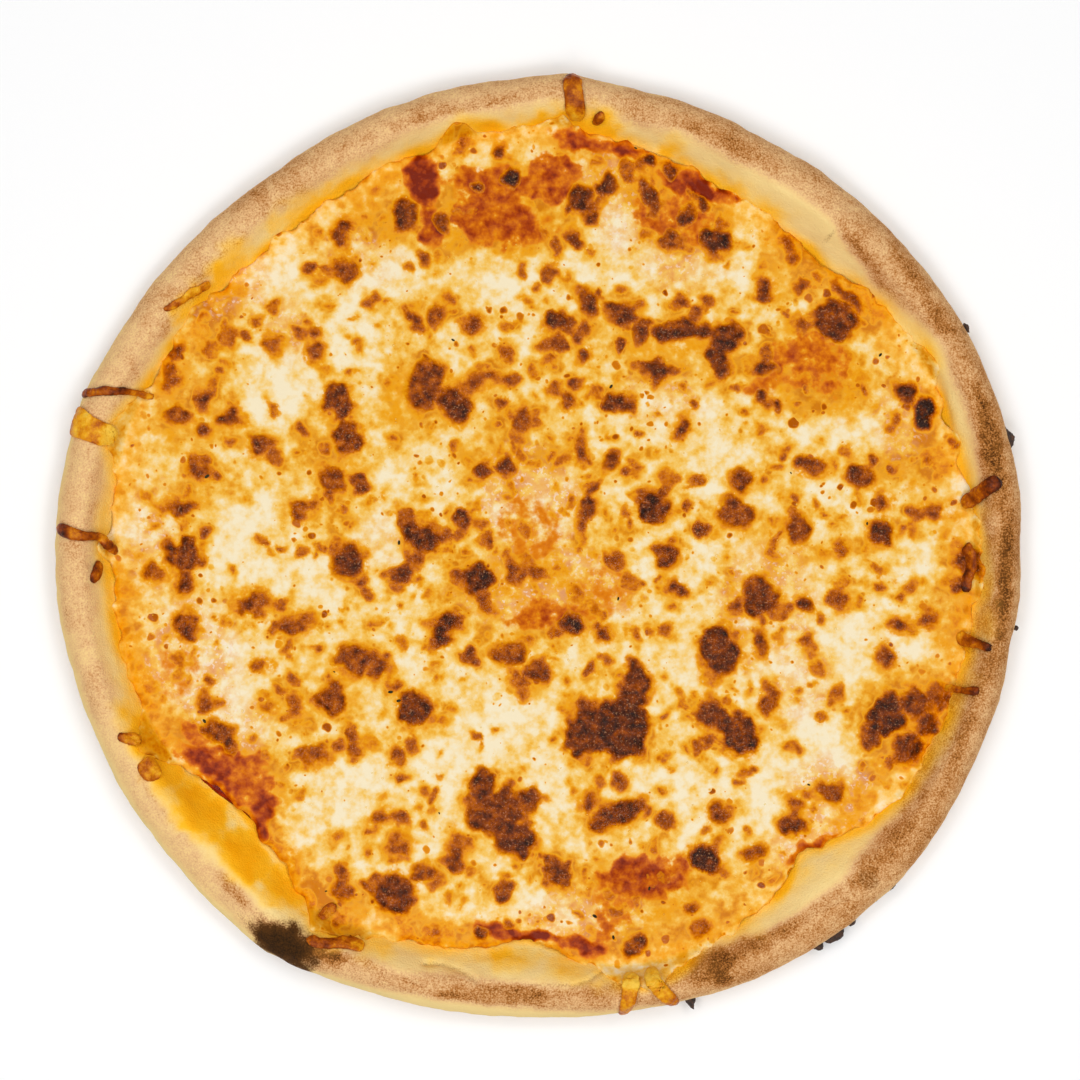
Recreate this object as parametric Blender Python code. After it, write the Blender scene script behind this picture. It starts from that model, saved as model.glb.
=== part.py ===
"""A whole margherita pizza, baked and uncut.

Four kinds of piece lie on each other: the dough with its puffed rim, a thin layer of
tomato sauce, the melted cheese, and the shreds of cheese that ran onto the rim.
Every shape is worked out round the middle of the pizza from an angle and a radius.
The origin is the middle of the flat underside, +Z is up.
"""

import math

import bmesh
import bpy
from mathutils import Vector

MM = 0.001

# ---- driving dimensions ----------------------------------------------------------
MEAN_RADIUS = 154.6 * MM
RIM_WIDTH = 20.3 * MM  # from the outline to the toe, where the inner slope starts
RIM_HEIGHT = 16.5 * MM
EQUATOR_HEIGHT = 6.5 * MM  # height at which the rim is widest
FOOT_INSET = 6.5 * MM  # how far the rim curves in under itself
CREST_SHARE = 0.42  # the crest's place across the rim, from the outside
FLOOR = 4.0 * MM  # thickness of the dough under the sauce
SAUCE_THICKNESS = 1.2 * MM
SAUCE_EDGE = 0.4 * MM  # thickness of its feathered edge
SAUCE_SHORT = 1.0 * MM  # how far inside the toe that edge stays
SAUCE_CLIMB = 4.0 * MM  # width over which its edge climbs the inner slope
SAUCE_FADE = 3.5 * MM  # width over which the cheese sinks onto the dough past that edge
CHEESE_THICKNESS = 2.7 * MM
CHEESE_EDGE = 0.9 * MM  # thickness of the melted edge
CHEESE_THINNING = 14 * MM  # width over which it thins to that edge
CHEESE_LEDGE = 2.0 * MM  # least width of the sheet past the sauce
CHEESE_LAP = 3.2 * MM  # how far the cheese climbs the inner slope
GAP = 0.35 * MM  # clearance between two layers
CHEESE_GAP = 0.6 * MM  # the same, measured upright, under the sloping edge of the cheese
SEGMENTS = 96  # steps round the pizza
SHARP_ANGLE = 50  # degrees between two faces, past which their edge stays sharp

# Rings of the solids, from coarse to fine where the shape bends
RIM_SHARES = (3, 2.7, 2.35, 2, 1.7, 1.4, 1.15, 0.9, 0.72, 0.54, 0.4, 0.27, 0.17, 0.08, 0)
SAUCE_UNDER = (SAUCE_CLIMB, 1.5 * MM, 0)  # insets from its edge
CHEESE_UNDER = (0, 0.25, 0.5, 0.75, 1)  # shares of the way from the sauce's edge to its own
CHEESE_INSETS = (0, 1.2 * MM, 3 * MM, 5.5 * MM, 8.5 * MM, 12 * MM)  # from its edge
CHEESE_SHARES = (0.8, 0.6, 0.4, 0.2, 0.05)  # of the radius inside the last inset

# Slow waves in the hand-stretched outline: (waves in a turn, height, angle of a top)
OUTLINE_WAVES = (
    (1, 2.8 * MM, 275),
    (2, 2.0 * MM, 4),
    (3, 1.25 * MM, 80),
    (5, 1.1 * MM, 22),
)
RIM_HEIGHT_WAVES = (
    (2, 0.9 * MM, 35),
    (5, 0.7 * MM, 50),
    (9, 0.4 * MM, 12),
)
# Local swellings: (angle, half width in degrees, size)
OUTLINE_HUMPS = (
    (87, 4, 1.6 * MM),
    (237, 6, 1.9 * MM),
    (164, 5, 0.8 * MM),
)
RIM_WIDTH_HUMPS = (
    (52, 17, 5.5 * MM),
    (135, 10, 2.0 * MM),
    (224, 14, 7.5 * MM),
    (250, 10, 2.5 * MM),
    (267, 8, 6.0 * MM),
    (284, 7, -3.0 * MM),
    (310, 8, 9.5 * MM),
    (350, 14, -3.2 * MM),
)
# Where the cheese ran out over the rim (positive) or drew back from it (negative)
CHEESE_EDGE_HUMPS = (
    (100, 3, 4.5 * MM),
    (88, 4, 1.5 * MM),
    (45, 3, -1.5 * MM),
    (28, 4, 3.0 * MM),
    (357, 4, 2.0 * MM),
    (333, 7, 1.5 * MM),
    (306, 4, 1.5 * MM),
    (284, 6, 5.0 * MM),
    (268, 6, -2.5 * MM),
    (241, 4, 6.0 * MM),
    (218, 10, -3.5 * MM),
    (207.5, 4, 8.5 * MM),
    (179, 4, 1.5 * MM),
    (165, 4, 3.5 * MM),
    (144, 4, 3.0 * MM),
)
# Where the sauce shows past the cheese
SAUCE_EDGE_HUMPS = (
    (216, 9, 2.4 * MM),
    (268, 6, 2.2 * MM),
    (310, 5, 2.2 * MM),
)
# Gentle swells in the melted surface: (height, wavelength, direction, phase)
CHEESE_SWELLS = (
    (0.35 * MM, 61 * MM, 25, 0.4),
    (0.30 * MM, 43 * MM, 110, 2.1),
    (0.20 * MM, 29 * MM, 70, 4.0),
)

# Shreds of cheese on the rim. Each runs through points of (angle, inset from the outline),
# with one width for each point and one thickness.
SHREDS = {
    "cheese_shred_top": (
        ((85.3, 14.4), (85.6, 10.3), (86.0, 5.7), (86.1, 1.6)),
        (7.2, 7.0, 6.6, 6.6),
        2.4,
    ),
    "cheese_shred_top_bead": (
        ((82.7, 14.6), (82.4, 13.0), (82.1, 11.3)),
        (2.6, 3.2, 2.8),
        1.3,
    ),
    "cheese_shred_upper_left": (
        ((141.6, 14.4), (143.2, 13.2), (144.2, 12.1), (145.3, 11.8), (146.5, 10.7), (147.9, 9.4)),
        (4.0, 3.2, 4.4, 2.5, 3.3, 2.4),
        1.5,
    ),
    "cheese_shred_long_left": (
        ((158.9, 20.6), (159.3, 15.9), (159.7, 11.1), (160.4, 7.2), (161.2, 2.6), (161.7, 0.2)),
        (2.4, 1.9, 2.3, 3.0, 2.9, 3.0),
        1.6,
    ),
    "cheese_flap_left": (
        ((165.3, 15.2), (165.7, 11.4), (165.5, 7.9), (165.1, 3.6), (165.0, 0.2)),
        (6.0, 7.6, 8.8, 10.6, 13.0),
        1.5,
    ),
    "cheese_shred_left": (
        ((181.0, 19.0), (179.9, 16.2), (178.7, 13.7), (178.8, 9.9), (178.3, 5.8), (177.8, 2.2)),
        (3.2, 3.2, 2.6, 3.2, 4.7, 4.4),
        1.9,
    ),
    "cheese_drop_left": (
        ((182.1, 14.2), (183.4, 13.3), (184.6, 12.2)),
        (3.8, 4.6, 4.2),
        1.9,
    ),
    "cheese_horn_lower_left_a": (
        ((209.6, 15.4), (209.7, 12.4), (209.8, 9.6)),
        (8.6, 8.4, 7.4),
        1.4,
    ),
    "cheese_horn_lower_left_b": (
        ((205.6, 14.2), (205.1, 11.2), (204.2, 8.8)),
        (5.0, 4.4, 3.6),
        1.4,
    ),
    "cheese_hook_bottom_left": (
        ((246.1, 14.0), (244.4, 14.1), (242.8, 13.1), (241.4, 11.7), (240.2, 11.3), (239.3, 12.0)),
        (6.2, 5.6, 4.3, 4.2, 4.5, 4.6),
        1.9,
    ),
    "cheese_bead_bottom_left": (
        ((240.5, 24.3), (239.9, 21.3), (239.3, 18.5)),
        (2.8, 4.2, 4.4),
        1.5,
    ),
    "cheese_shred_bottom_a": (
        ((281.8, 13.2), (281.6, 9.9), (281.2, 7.0), (280.5, 3.5), (279.9, 0.2)),
        (4.8, 5.6, 5.6, 4.6, 4.6),
        1.7,
    ),
    "cheese_shred_bottom_b": (
        ((284.7, 13.5), (284.5, 10.2), (284.9, 7.7), (285.6, 4.6), (286.4, 0.6)),
        (5.0, 6.2, 6.0, 5.2, 4.8),
        1.7,
    ),
    "cheese_shred_right_low_thin": (
        ((340.7, 16.7), (341.0, 13.9), (341.2, 11.2), (341.7, 8.5)),
        (3.4, 1.9, 2.1, 4.4),
        1.5,
    ),
    "cheese_shred_right_low": (
        ((348.3, 17.2), (347.5, 14.9), (347.4, 12.5), (347.3, 10.1), (347.2, 7.9)),
        (3.4, 4.4, 3.8, 2.8, 3.6),
        1.8,
    ),
    "cheese_arc_right": (
        ((360.1, 18.0), (359.2, 15.9), (358.0, 15.0), (356.6, 15.5), (355.2, 16.7), (353.8, 18.2)),
        (5.2, 5.0, 5.0, 4.4, 4.2, 3.6),
        2.1,
    ),
    "cheese_shred_right": (
        ((5.5, 17.2), (6.3, 14.2), (7.0, 11.8), (7.7, 9.6), (8.4, 7.4)),
        (5.4, 5.6, 5.6, 5.6, 6.2),
        2.3,
    ),
}
SHRED_SIDES = 8
SHRED_STEPS = 2  # rings for each span of a route
SHRED_TIP = 0.55  # share of the width and thickness left at each end
SHRED_STEP = 0.01  # part of a share over which the slope under a shred is taken
SHRED_MARGIN = 1.5 * MM  # a shred this near the cheese's edge is lifted by it
SHRED_ROOM = 0.35 * MM  # room for the facets of the rim under a shred
CHEESE_ROOM = 0.45 * MM  # room for the cheese, which rises towards the middle, under one

# ---- finishes --------------------------------------------------------------------
FINISHES = {
    "dough": ((0.72, 0.50, 0.27, 1.0), 0.75),
    "sauce": ((0.42, 0.05, 0.012, 1.0), 0.35),
    "cheese": ((0.88, 0.62, 0.24, 1.0), 0.38),
    "browned_cheese": ((0.40, 0.14, 0.02, 1.0), 0.35),
}


# ---- the rules of the shape ------------------------------------------------------
def turn_between(angle, centre):
    """Shortest turn from one angle to another, in degrees."""
    return (angle - centre + 180) % 360 - 180


def waves(angle, terms):
    return sum(h * math.cos(math.radians(n * (angle - top))) for n, h, top in terms)


def humps(angle, terms):
    return sum(h * math.exp(-((turn_between(angle, a) / w) ** 2)) for a, w, h in terms)


def outline_radius(angle):
    return MEAN_RADIUS + waves(angle, OUTLINE_WAVES) + humps(angle, OUTLINE_HUMPS)


def rim_width(angle):
    return RIM_WIDTH + humps(angle, RIM_WIDTH_HUMPS)


def toe_radius(angle):
    return outline_radius(angle) - rim_width(angle)


def crest_radius(angle):
    return outline_radius(angle) - CREST_SHARE * rim_width(angle)


def crest_height(angle):
    return RIM_HEIGHT + waves(angle, RIM_HEIGHT_WAVES)


def cheese_radius(angle):
    return toe_radius(angle) + CHEESE_LAP + humps(angle, CHEESE_EDGE_HUMPS)


def sauce_radius(angle):
    return toe_radius(angle) - SAUCE_SHORT + humps(angle, SAUCE_EDGE_HUMPS)


def rim_point(angle, share):
    """(radius, height) on the rim: 0 the toe, 1 the crest, 2 the equator, 3 the foot."""
    outline, crest = outline_radius(angle), crest_radius(angle)
    top = crest_height(angle)
    if share <= 1:
        toe = toe_radius(angle)
        rise = (1 - math.cos(math.pi * share)) / 2
        return toe + (crest - toe) * share, FLOOR + (top - FLOOR) * rise
    if share <= 2:
        turn = (share - 1) * math.pi / 2
        radius = crest + (outline - crest) * math.sin(turn)
        return radius, EQUATOR_HEIGHT + (top - EQUATOR_HEIGHT) * math.cos(turn)
    turn = (share - 2) * math.pi / 2
    radius = outline - FOOT_INSET * (1 - math.cos(turn))
    return radius, EQUATOR_HEIGHT * (1 - math.sin(turn))


def rim_share(angle, radius):
    """The share of rim_point at which the top of the rim has that radius."""
    outline, crest = outline_radius(angle), crest_radius(angle)
    if radius <= crest:
        toe = toe_radius(angle)
        return max(0.0, (radius - toe) / (crest - toe))
    across = min(1.0, (radius - crest) / (outline - crest))
    return 1 + math.asin(across) * 2 / math.pi


def dough_top(angle, radius):
    return rim_point(angle, rim_share(angle, radius))[1]


def sauce_top(angle, radius):
    """The sauce is level over the floor, and thins to nothing up the inner slope."""
    edge = sauce_radius(angle)
    level = FLOOR + GAP + SAUCE_THICKNESS
    start = edge - SAUCE_CLIMB
    if radius <= start:
        return level
    along = min(1.0, (radius - start) / SAUCE_CLIMB)
    end = dough_top(angle, edge) + GAP + SAUCE_EDGE
    return level + (end - level) * along


def cheese_bottom(angle, radius):
    """The cheese lies on the sauce, and past its edge sinks slowly onto the dough."""
    edge = sauce_radius(angle)
    if radius <= edge:
        return sauce_top(angle, radius) + CHEESE_GAP
    step = sauce_top(angle, edge) - dough_top(angle, edge)
    past = min(1.0, (radius - edge) / SAUCE_FADE)
    return dough_top(angle, radius) + step * (1 - past) + CHEESE_GAP


def cheese_top(angle, radius):
    """Full thickness in the middle, a rounded thin edge, and slow swells over it all."""
    edge = cheese_radius(angle)
    inwards = min(1.0, (edge - radius) / CHEESE_THINNING)
    thickness = CHEESE_EDGE + (CHEESE_THICKNESS - CHEESE_EDGE) * math.sqrt(inwards)
    x, y = flat_point(angle, radius)
    swell = 0.0
    for height, length, direction, phase in CHEESE_SWELLS:
        turned = math.radians(direction)
        along = x * math.cos(turned) + y * math.sin(turned)
        swell += height * math.sin(2 * math.pi * along / length + phase)
    return cheese_bottom(angle, radius) + thickness + swell * inwards


def flat_point(angle, radius):
    turned = math.radians(angle)
    return radius * math.cos(turned), radius * math.sin(turned)


# ---- turning rules into meshes ---------------------------------------------------
def finish(name):
    colour, roughness = FINISHES[name]
    material = bpy.data.materials.new(name)
    material.use_nodes = True
    shader = material.node_tree.nodes["Principled BSDF"]
    shader.inputs["Base Color"].default_value = colour
    shader.inputs["Roughness"].default_value = roughness
    material.diffuse_color = colour
    return material


def add_object(name, mesh, material):
    mesh.materials.append(material)
    mesh.shade_smooth()
    mesh.set_sharp_from_angle(angle=math.radians(SHARP_ANGLE))
    solid = bpy.data.objects.new(name, mesh)
    bpy.context.scene.collection.objects.link(solid)
    return solid


def ring_solid(name, rings, material):
    """A closed solid from rings of points: the first and last are filled, the rest joined."""
    shape = bmesh.new()
    loops = [[shape.verts.new(point) for point in ring] for ring in rings]
    for low, high in zip(loops, loops[1:]):
        count = len(low)
        for i in range(count):
            j = (i + 1) % count
            shape.faces.new((low[i], low[j], high[j], high[i]))
    shape.faces.new(tuple(reversed(loops[0])))
    shape.faces.new(tuple(loops[-1]))
    bmesh.ops.recalc_face_normals(shape, faces=shape.faces)
    mesh = bpy.data.meshes.new(name)
    shape.to_mesh(mesh)
    shape.free()
    return add_object(name, mesh, material)


def ring_at(radius_of, height_of):
    """One ring round the pizza, from rules for its radius and its height."""
    points = []
    for step in range(SEGMENTS):
        angle = 360 * step / SEGMENTS
        radius = radius_of(angle)
        points.append((*flat_point(angle, radius), height_of(angle, radius)))
    return points


def rim_ring(share):
    return ring_at(
        lambda angle: rim_point(angle, share)[0],
        lambda angle, radius: rim_point(angle, share)[1],
    )


# ---- the pieces ------------------------------------------------------------------
def make_crust():
    """Foot to toe round the outside of the rim, then the floor in one flat face."""
    return ring_solid("crust", [rim_ring(share) for share in RIM_SHARES], finish("dough"))


def make_sauce():
    """A thin level layer on the floor, whose feathered edge climbs the inner slope."""

    def under(angle, radius):
        return dough_top(angle, radius) + GAP

    def inset(distance):
        return lambda angle: sauce_radius(angle) - distance

    rings = [ring_at(inset(distance), under) for distance in SAUCE_UNDER]
    rings += [ring_at(inset(distance), sauce_top) for distance in (0, SAUCE_CLIMB)]
    return ring_solid("sauce", rings, finish("sauce"))


def make_cheese():
    """Rings run out under the sheet, round its melted edge and back over the top."""

    def under_edge(angle):
        return min(sauce_radius(angle), cheese_radius(angle) - CHEESE_LEDGE)

    def inner(angle):
        return under_edge(angle) - SAUCE_CLIMB

    def outer(part):
        return lambda angle: under_edge(angle) * (1 - part) + cheese_radius(angle) * part

    def inset(distance):
        return lambda angle: cheese_radius(angle) - distance

    def share(part):
        return lambda angle: (cheese_radius(angle) - CHEESE_INSETS[-1]) * part

    rings = [ring_at(inner, cheese_bottom)]
    rings += [ring_at(outer(part), cheese_bottom) for part in CHEESE_UNDER]
    rings += [ring_at(inset(distance), cheese_top) for distance in CHEESE_INSETS]
    rings += [ring_at(share(part), cheese_top) for part in CHEESE_SHARES]
    return ring_solid("cheese", rings, finish("cheese"))


def cheese_lift(angle, radius):
    """How far the cheese's edge lifts what lies there off the dough."""
    if radius > cheese_radius(angle) + SHRED_MARGIN:
        return 0.0
    held = min(radius, cheese_radius(angle))
    return max(0.0, cheese_top(angle, held) - dough_top(angle, held)) + CHEESE_ROOM


def rim_frame(angle, inset):
    """Where a shred lies at that inset from the outline, and the normal out of the rim."""
    outline = outline_radius(angle)
    share = rim_share(angle, outline - inset)

    def place(at):
        radius, height = rim_point(angle, at)
        return Vector((*flat_point(angle, radius), height))

    here = place(share) + Vector((0, 0, cheese_lift(angle, outline - inset)))
    way_out = place(share + SHRED_STEP) - place(max(0.0, share - SHRED_STEP))
    around = Vector((-math.sin(math.radians(angle)), math.cos(math.radians(angle)), 0))
    return here, way_out.cross(around).normalized()


def smooth_path(values, steps):
    """Catmull-Rom points through a list of tuples, steps for each span."""
    padded = [values[0], *values, values[-1]]
    path = []
    for a, b, c, d in zip(padded, padded[1:], padded[2:], padded[3:]):
        for i in range(steps):
            t = i / steps
            path.append(
                tuple(
                    0.5
                    * (
                        2 * q
                        + (r - p) * t
                        + (2 * p - 5 * q + 4 * r - s) * t**2
                        + (3 * q - p - 3 * r + s) * t**3
                    )
                    for p, q, r, s in zip(a, b, c, d)
                )
            )
    path.append(tuple(values[-1]))
    return path


def make_shred(name, route, widths, thickness, material):
    """A flattened shred that follows the rim, thin at both ends, just clear of the dough."""
    stations = [(*point, width) for point, width in zip(route, widths)]
    stations = smooth_path(stations, SHRED_STEPS)
    frames = [rim_frame(angle, inset * MM) for angle, inset, _ in stations]
    places = [place for place, _ in frames]
    rings = []
    for i, ((place, up), (_, _, width)) in enumerate(zip(frames, stations)):
        before, after = places[max(0, i - 1)], places[min(len(places) - 1, i + 1)]
        side = (after - before).cross(up).normalized()
        left = SHRED_TIP if i in (0, len(stations) - 1) else 1
        half_width = width * MM / 2 * left
        half_height = thickness * MM / 2 * left
        centre = place + up * (half_height + GAP + sag_room(half_width))
        ring = []
        for k in range(SHRED_SIDES):
            turn = 2 * math.pi * k / SHRED_SIDES
            across = side * (half_width * math.cos(turn))
            ring.append(centre + across + up * (half_height * math.sin(turn)))
        rings.append(ring)
    return ring_solid(name, rings, material)


def sag_room(half_width):
    """Room under a flat shred for the curve of the rim that it lies across."""
    return half_width**2 / (2 * MEAN_RADIUS) + SHRED_ROOM


def main():
    for leftover in list(bpy.data.objects):
        bpy.data.objects.remove(leftover)
    make_crust()
    make_sauce()
    make_cheese()
    browned = finish("browned_cheese")
    for name, (route, widths, thickness) in SHREDS.items():
        make_shred(name, route, widths, thickness, browned)


main()
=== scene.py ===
# %% [markdown]
# # A margherita pizza, whole and uncut
#
# This lesson finishes a baked pizza. The frame that it loads holds the plain solids: dough,
# sauce, cheese and the shreds of cheese on the rim, each at its real size and place. Each
# step below looks at one of them, says what the real thing is, and makes the shape and the
# finish that the eye expects. All lengths are in metres, +Z is up, and the pizza lies on
# its flat underside round the origin.

# %% Load the frame
import math
from itertools import product

import bmesh
import bpy
import numpy as np
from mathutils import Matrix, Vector
from mathutils.bvhtree import BVHTree


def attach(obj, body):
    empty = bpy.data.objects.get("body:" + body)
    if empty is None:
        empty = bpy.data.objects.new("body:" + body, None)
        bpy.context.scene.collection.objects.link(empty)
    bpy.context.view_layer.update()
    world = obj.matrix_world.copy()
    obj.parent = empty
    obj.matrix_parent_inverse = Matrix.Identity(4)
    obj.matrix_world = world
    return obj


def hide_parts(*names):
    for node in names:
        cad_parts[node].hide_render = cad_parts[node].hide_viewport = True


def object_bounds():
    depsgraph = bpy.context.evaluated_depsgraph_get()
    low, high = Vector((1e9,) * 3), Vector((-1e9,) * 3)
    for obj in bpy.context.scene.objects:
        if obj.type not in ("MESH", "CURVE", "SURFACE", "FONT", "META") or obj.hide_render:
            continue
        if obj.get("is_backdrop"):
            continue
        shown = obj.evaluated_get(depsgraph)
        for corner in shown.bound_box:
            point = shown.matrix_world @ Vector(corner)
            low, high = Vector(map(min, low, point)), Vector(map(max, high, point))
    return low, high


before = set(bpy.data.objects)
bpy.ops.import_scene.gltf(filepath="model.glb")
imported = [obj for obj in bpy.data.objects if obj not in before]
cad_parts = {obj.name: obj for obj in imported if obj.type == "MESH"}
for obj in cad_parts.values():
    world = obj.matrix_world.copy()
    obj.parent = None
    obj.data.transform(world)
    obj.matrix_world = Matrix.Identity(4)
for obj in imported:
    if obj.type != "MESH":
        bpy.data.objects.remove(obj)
CAD_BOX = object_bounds()
MM = 0.001
print("the solids span", [round(high - low, 4) for low, high in zip(*CAD_BOX)])

# %% [markdown]
# ## Camera, floor and light
#
# A pizza is best seen from straight above, where its outline and all of its topping show. A
# long lens high over it keeps the rim from leaning outwards. The light is what a food studio
# would set up: a dim room, so that the fat and the browned spots keep their deep colours,
# and a ring of softboxes high round the table, the one in front the strongest. Such a ring
# leaves no side of the rim dark and lays one soft, tight shadow all the way round it.

# %% Camera
LENS, SENSOR = 85, 36
VIEW_WIDTH = 351 * MM
AIM = (-0.3 * MM, 1.95 * MM)
AIM_HEIGHT = 6.5 * MM  # the height at which the rim is widest

camera_data = bpy.data.cameras.new("camera")
camera_data.lens = LENS
camera_data.sensor_width = SENSOR
camera = bpy.data.objects.new("camera", camera_data)
camera.location = (*AIM, AIM_HEIGHT + VIEW_WIDTH * LENS / SENSOR)
bpy.context.scene.collection.objects.link(camera)
bpy.context.scene.camera = camera
print("the camera hangs", round(camera.location.z, 3), "m over the floor")


# %% Floor
def flat_material(name, colour, roughness):
    """A plain material for what isn't part of the pizza."""
    material = bpy.data.materials.new(name)
    material.use_nodes = True
    shader = material.node_tree.nodes["Principled BSDF"]
    shader.inputs["Base Color"].default_value = (*colour, 1)
    shader.inputs["Roughness"].default_value = roughness
    return material


FLOOR_HALF = 3.0
TABLE_WHITE = 0.94
corners = [(-1, -1), (1, -1), (1, 1), (-1, 1)]
floor_mesh = bpy.data.meshes.new("floor")
floor_points = [(FLOOR_HALF * x, FLOOR_HALF * y, 0) for x, y in corners]
floor_mesh.from_pydata(floor_points, [], [(0, 1, 2, 3)])
floor_mesh.materials.append(flat_material("white_table", (TABLE_WHITE,) * 3, 0.9))
floor = bpy.data.objects.new("floor", floor_mesh)
bpy.context.scene.collection.objects.link(floor)
floor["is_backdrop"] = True
print("the floor is", 2 * FLOOR_HALF, "m square")

# %% Light
ROOM_LIGHT = 0.24
scene = bpy.context.scene
scene.view_settings.view_transform = "Standard"
world = bpy.data.worlds.new("room")
world.use_nodes = True
world.node_tree.nodes["Background"].inputs["Color"].default_value = (1, 1, 1, 1)
world.node_tree.nodes["Background"].inputs["Strength"].default_value = ROOM_LIGHT
scene.world = world


def add_softbox(name, turn, rise, distance, size, watts):
    """A square lamp that faces the pizza, at a turn round it and a rise over the table."""
    lamp = bpy.data.lights.new(name, "AREA")
    lamp.size = size
    lamp.energy = watts
    holder = bpy.data.objects.new(name, lamp)
    across = distance * math.cos(math.radians(rise))
    holder.location = (
        across * math.cos(math.radians(turn)),
        across * math.sin(math.radians(turn)),
        distance * math.sin(math.radians(rise)),
    )
    holder.rotation_euler = (-holder.location).to_track_quat("-Z", "Y").to_euler()
    scene.collection.objects.link(holder)


RING = (  # turn round the pizza in degrees, and watts
    (-90, 3.7), (-45, 3.1), (0, 2.6), (45, 2.3), (90, 2.0), (135, 2.3), (180, 2.6), (-135, 3.1),
)
RING_RISE = 62  # degrees over the table
RING_DISTANCE = 1.5
SOFTBOX_SIZE = 0.4
for number, (turn, watts) in enumerate(RING):
    add_softbox(f"softbox_{number}", turn, RING_RISE, RING_DISTANCE, SOFTBOX_SIZE, watts)
print("the room shines at", ROOM_LIGHT, "with", len(bpy.data.lights), "softboxes")

# %% [markdown]
# ## Reading the solids
#
# The solids were made in rings round the pizza, so every corner lies on one of 96 spokes.
# Reading them back by spoke gives the rim's profile and the edges of the sauce and the
# cheese as plain tables of radius and height. A smooth curve through them can then be read
# as finely as a detailed mesh needs, so the detailed piece starts right on its solid.

# %% Corners by spoke
SPOKES = 96


def corners_of(node):
    """The corner points of a solid, each once."""
    points = np.array([v.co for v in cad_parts[node].data.vertices], float)
    return np.unique(np.round(points, 7), axis=0)


def by_spoke(points):
    """Radius, height and number of the spoke of each point."""
    radius = np.hypot(points[:, 0], points[:, 1])
    turn = np.arctan2(points[:, 1], points[:, 0]) / (2 * np.pi)
    return radius, points[:, 2], np.round(turn * SPOKES).astype(int) % SPOKES


def edge_of(node):
    """How far the solid reaches along each spoke."""
    radius, _, spoke = by_spoke(corners_of(node))
    return np.array([radius[spoke == k].max() for k in range(SPOKES)])


CORE_DEPTH, CORE_HEIGHT = 8 * MM, 6 * MM  # a place inside every section of the rim
FOOT_ANGLE = np.radians(-120)  # where the section's foot is, seen from that place


def rim_profile():
    """Radius and height round the rim's section, foot to toe, for each spoke."""
    radius, height, spoke = by_spoke(corners_of("crust"))
    profiles = []
    for k in range(SPOKES):
        r, z = radius[spoke == k], height[spoke == k]
        around = np.arctan2(z - CORE_HEIGHT, r - (r.max() - CORE_DEPTH))
        order = np.argsort(np.where(around < FOOT_ANGLE, around + 2 * np.pi, around))
        profiles.append(np.stack([r[order], z[order]], axis=1))
    return np.array(profiles)


PROFILE = rim_profile()
print("the rim's section has", PROFILE.shape[1], "points on each of", SPOKES, "spokes")


# %% Finer tables
def finer(table, steps, closed):
    """Catmull-Rom values between the rows of a table, with that many steps to a row."""
    if closed:
        ends = [np.roll(table, shift, axis=0) for shift in (1, 0, -1, -2)]
    else:
        padded = np.concatenate([table[:1], table, table[-1:]])
        ends = [padded[i : i + len(table) - 1] for i in range(4)]
    a, b, c, d = ends
    rows = []
    for step in range(steps):
        t = step / steps
        rows.append(
            0.5
            * (
                2 * b
                + (c - a) * t
                + (2 * a - 5 * b + 4 * c - d) * t**2
                + (3 * b - a - 3 * c + d) * t**3
            )
        )
    fine = np.stack(rows, axis=1).reshape(-1, *table.shape[1:])
    return fine if closed else np.concatenate([fine, table[-1:]])


FINE = 12
OUTLINE = finer(PROFILE[:, :, 0].max(axis=1), FINE, True)
CHEESE_EDGE = finer(edge_of("cheese"), FINE, True)
SAUCE_EDGE = finer(edge_of("sauce"), FINE, True)


def along_edge(table, angle):
    """A table of radii read at any angle, in radians."""
    at = angle / (2 * np.pi) * len(table)
    return np.interp(at, np.arange(len(table) + 1), np.append(table, table[0]), period=len(table))


print("the outline runs from", round(OUTLINE.min(), 4), "to", round(OUTLINE.max(), 4))

# %% [markdown]
# ## Lumps and marks
#
# Baked food is uneven at every scale. Two helpers describe that. The first, `lumps`, gives
# smooth random lumps of a chosen size, from a grid of random numbers that is mixed from
# whole numbers, so it is the same each run. The second, `mark_field`, turns a list of marks
# into a field: 1 inside a mark, fading to 0 just past its frayed edge. Such fields drive
# both the relief and the colour, so that a dark blister is also a raised one.


# %% Random lumps
MIXERS = (73856093, 19349663, 83492791, 50331653)  # large numbers that mix the bits well


def lumps(points, size, seed):
    """A smooth random value from -1 to 1 at each point, with lumps of that size."""
    at = points / size
    cell = np.floor(at).astype(np.int64)
    part = at - cell
    part = part * part * (3 - 2 * part)
    total = np.zeros(len(points))
    for corner in product((0, 1), repeat=3):
        x, y, z = (cell + corner).T
        mixed = (x * MIXERS[0]) ^ (y * MIXERS[1]) ^ (z * MIXERS[2]) ^ (seed * MIXERS[3])
        mixed = (mixed ^ (mixed >> 13)) * 1274126177 & 0x7FFFFFFF
        value = ((mixed ^ (mixed >> 16)) & 0xFFFF) / 32767.5 - 1
        total += value * np.prod(np.where(corner, part, 1 - part), axis=1)
    return total


def layered(points, size, seed, layers=3):
    """Lumps on lumps: each layer is half the size and a little over half the height."""
    return sum(0.55**k * lumps(points, size / 2**k, seed + k) for k in range(layers))


def smooth(value):
    """0 below 0, 1 above 1, and an even curve between."""
    value = np.clip(value, 0, 1)
    return value * value * (3 - 2 * value)


print("lumps at the origin:", round(float(lumps(np.zeros((1, 3)), 0.01, 1)[0]), 3))


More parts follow.
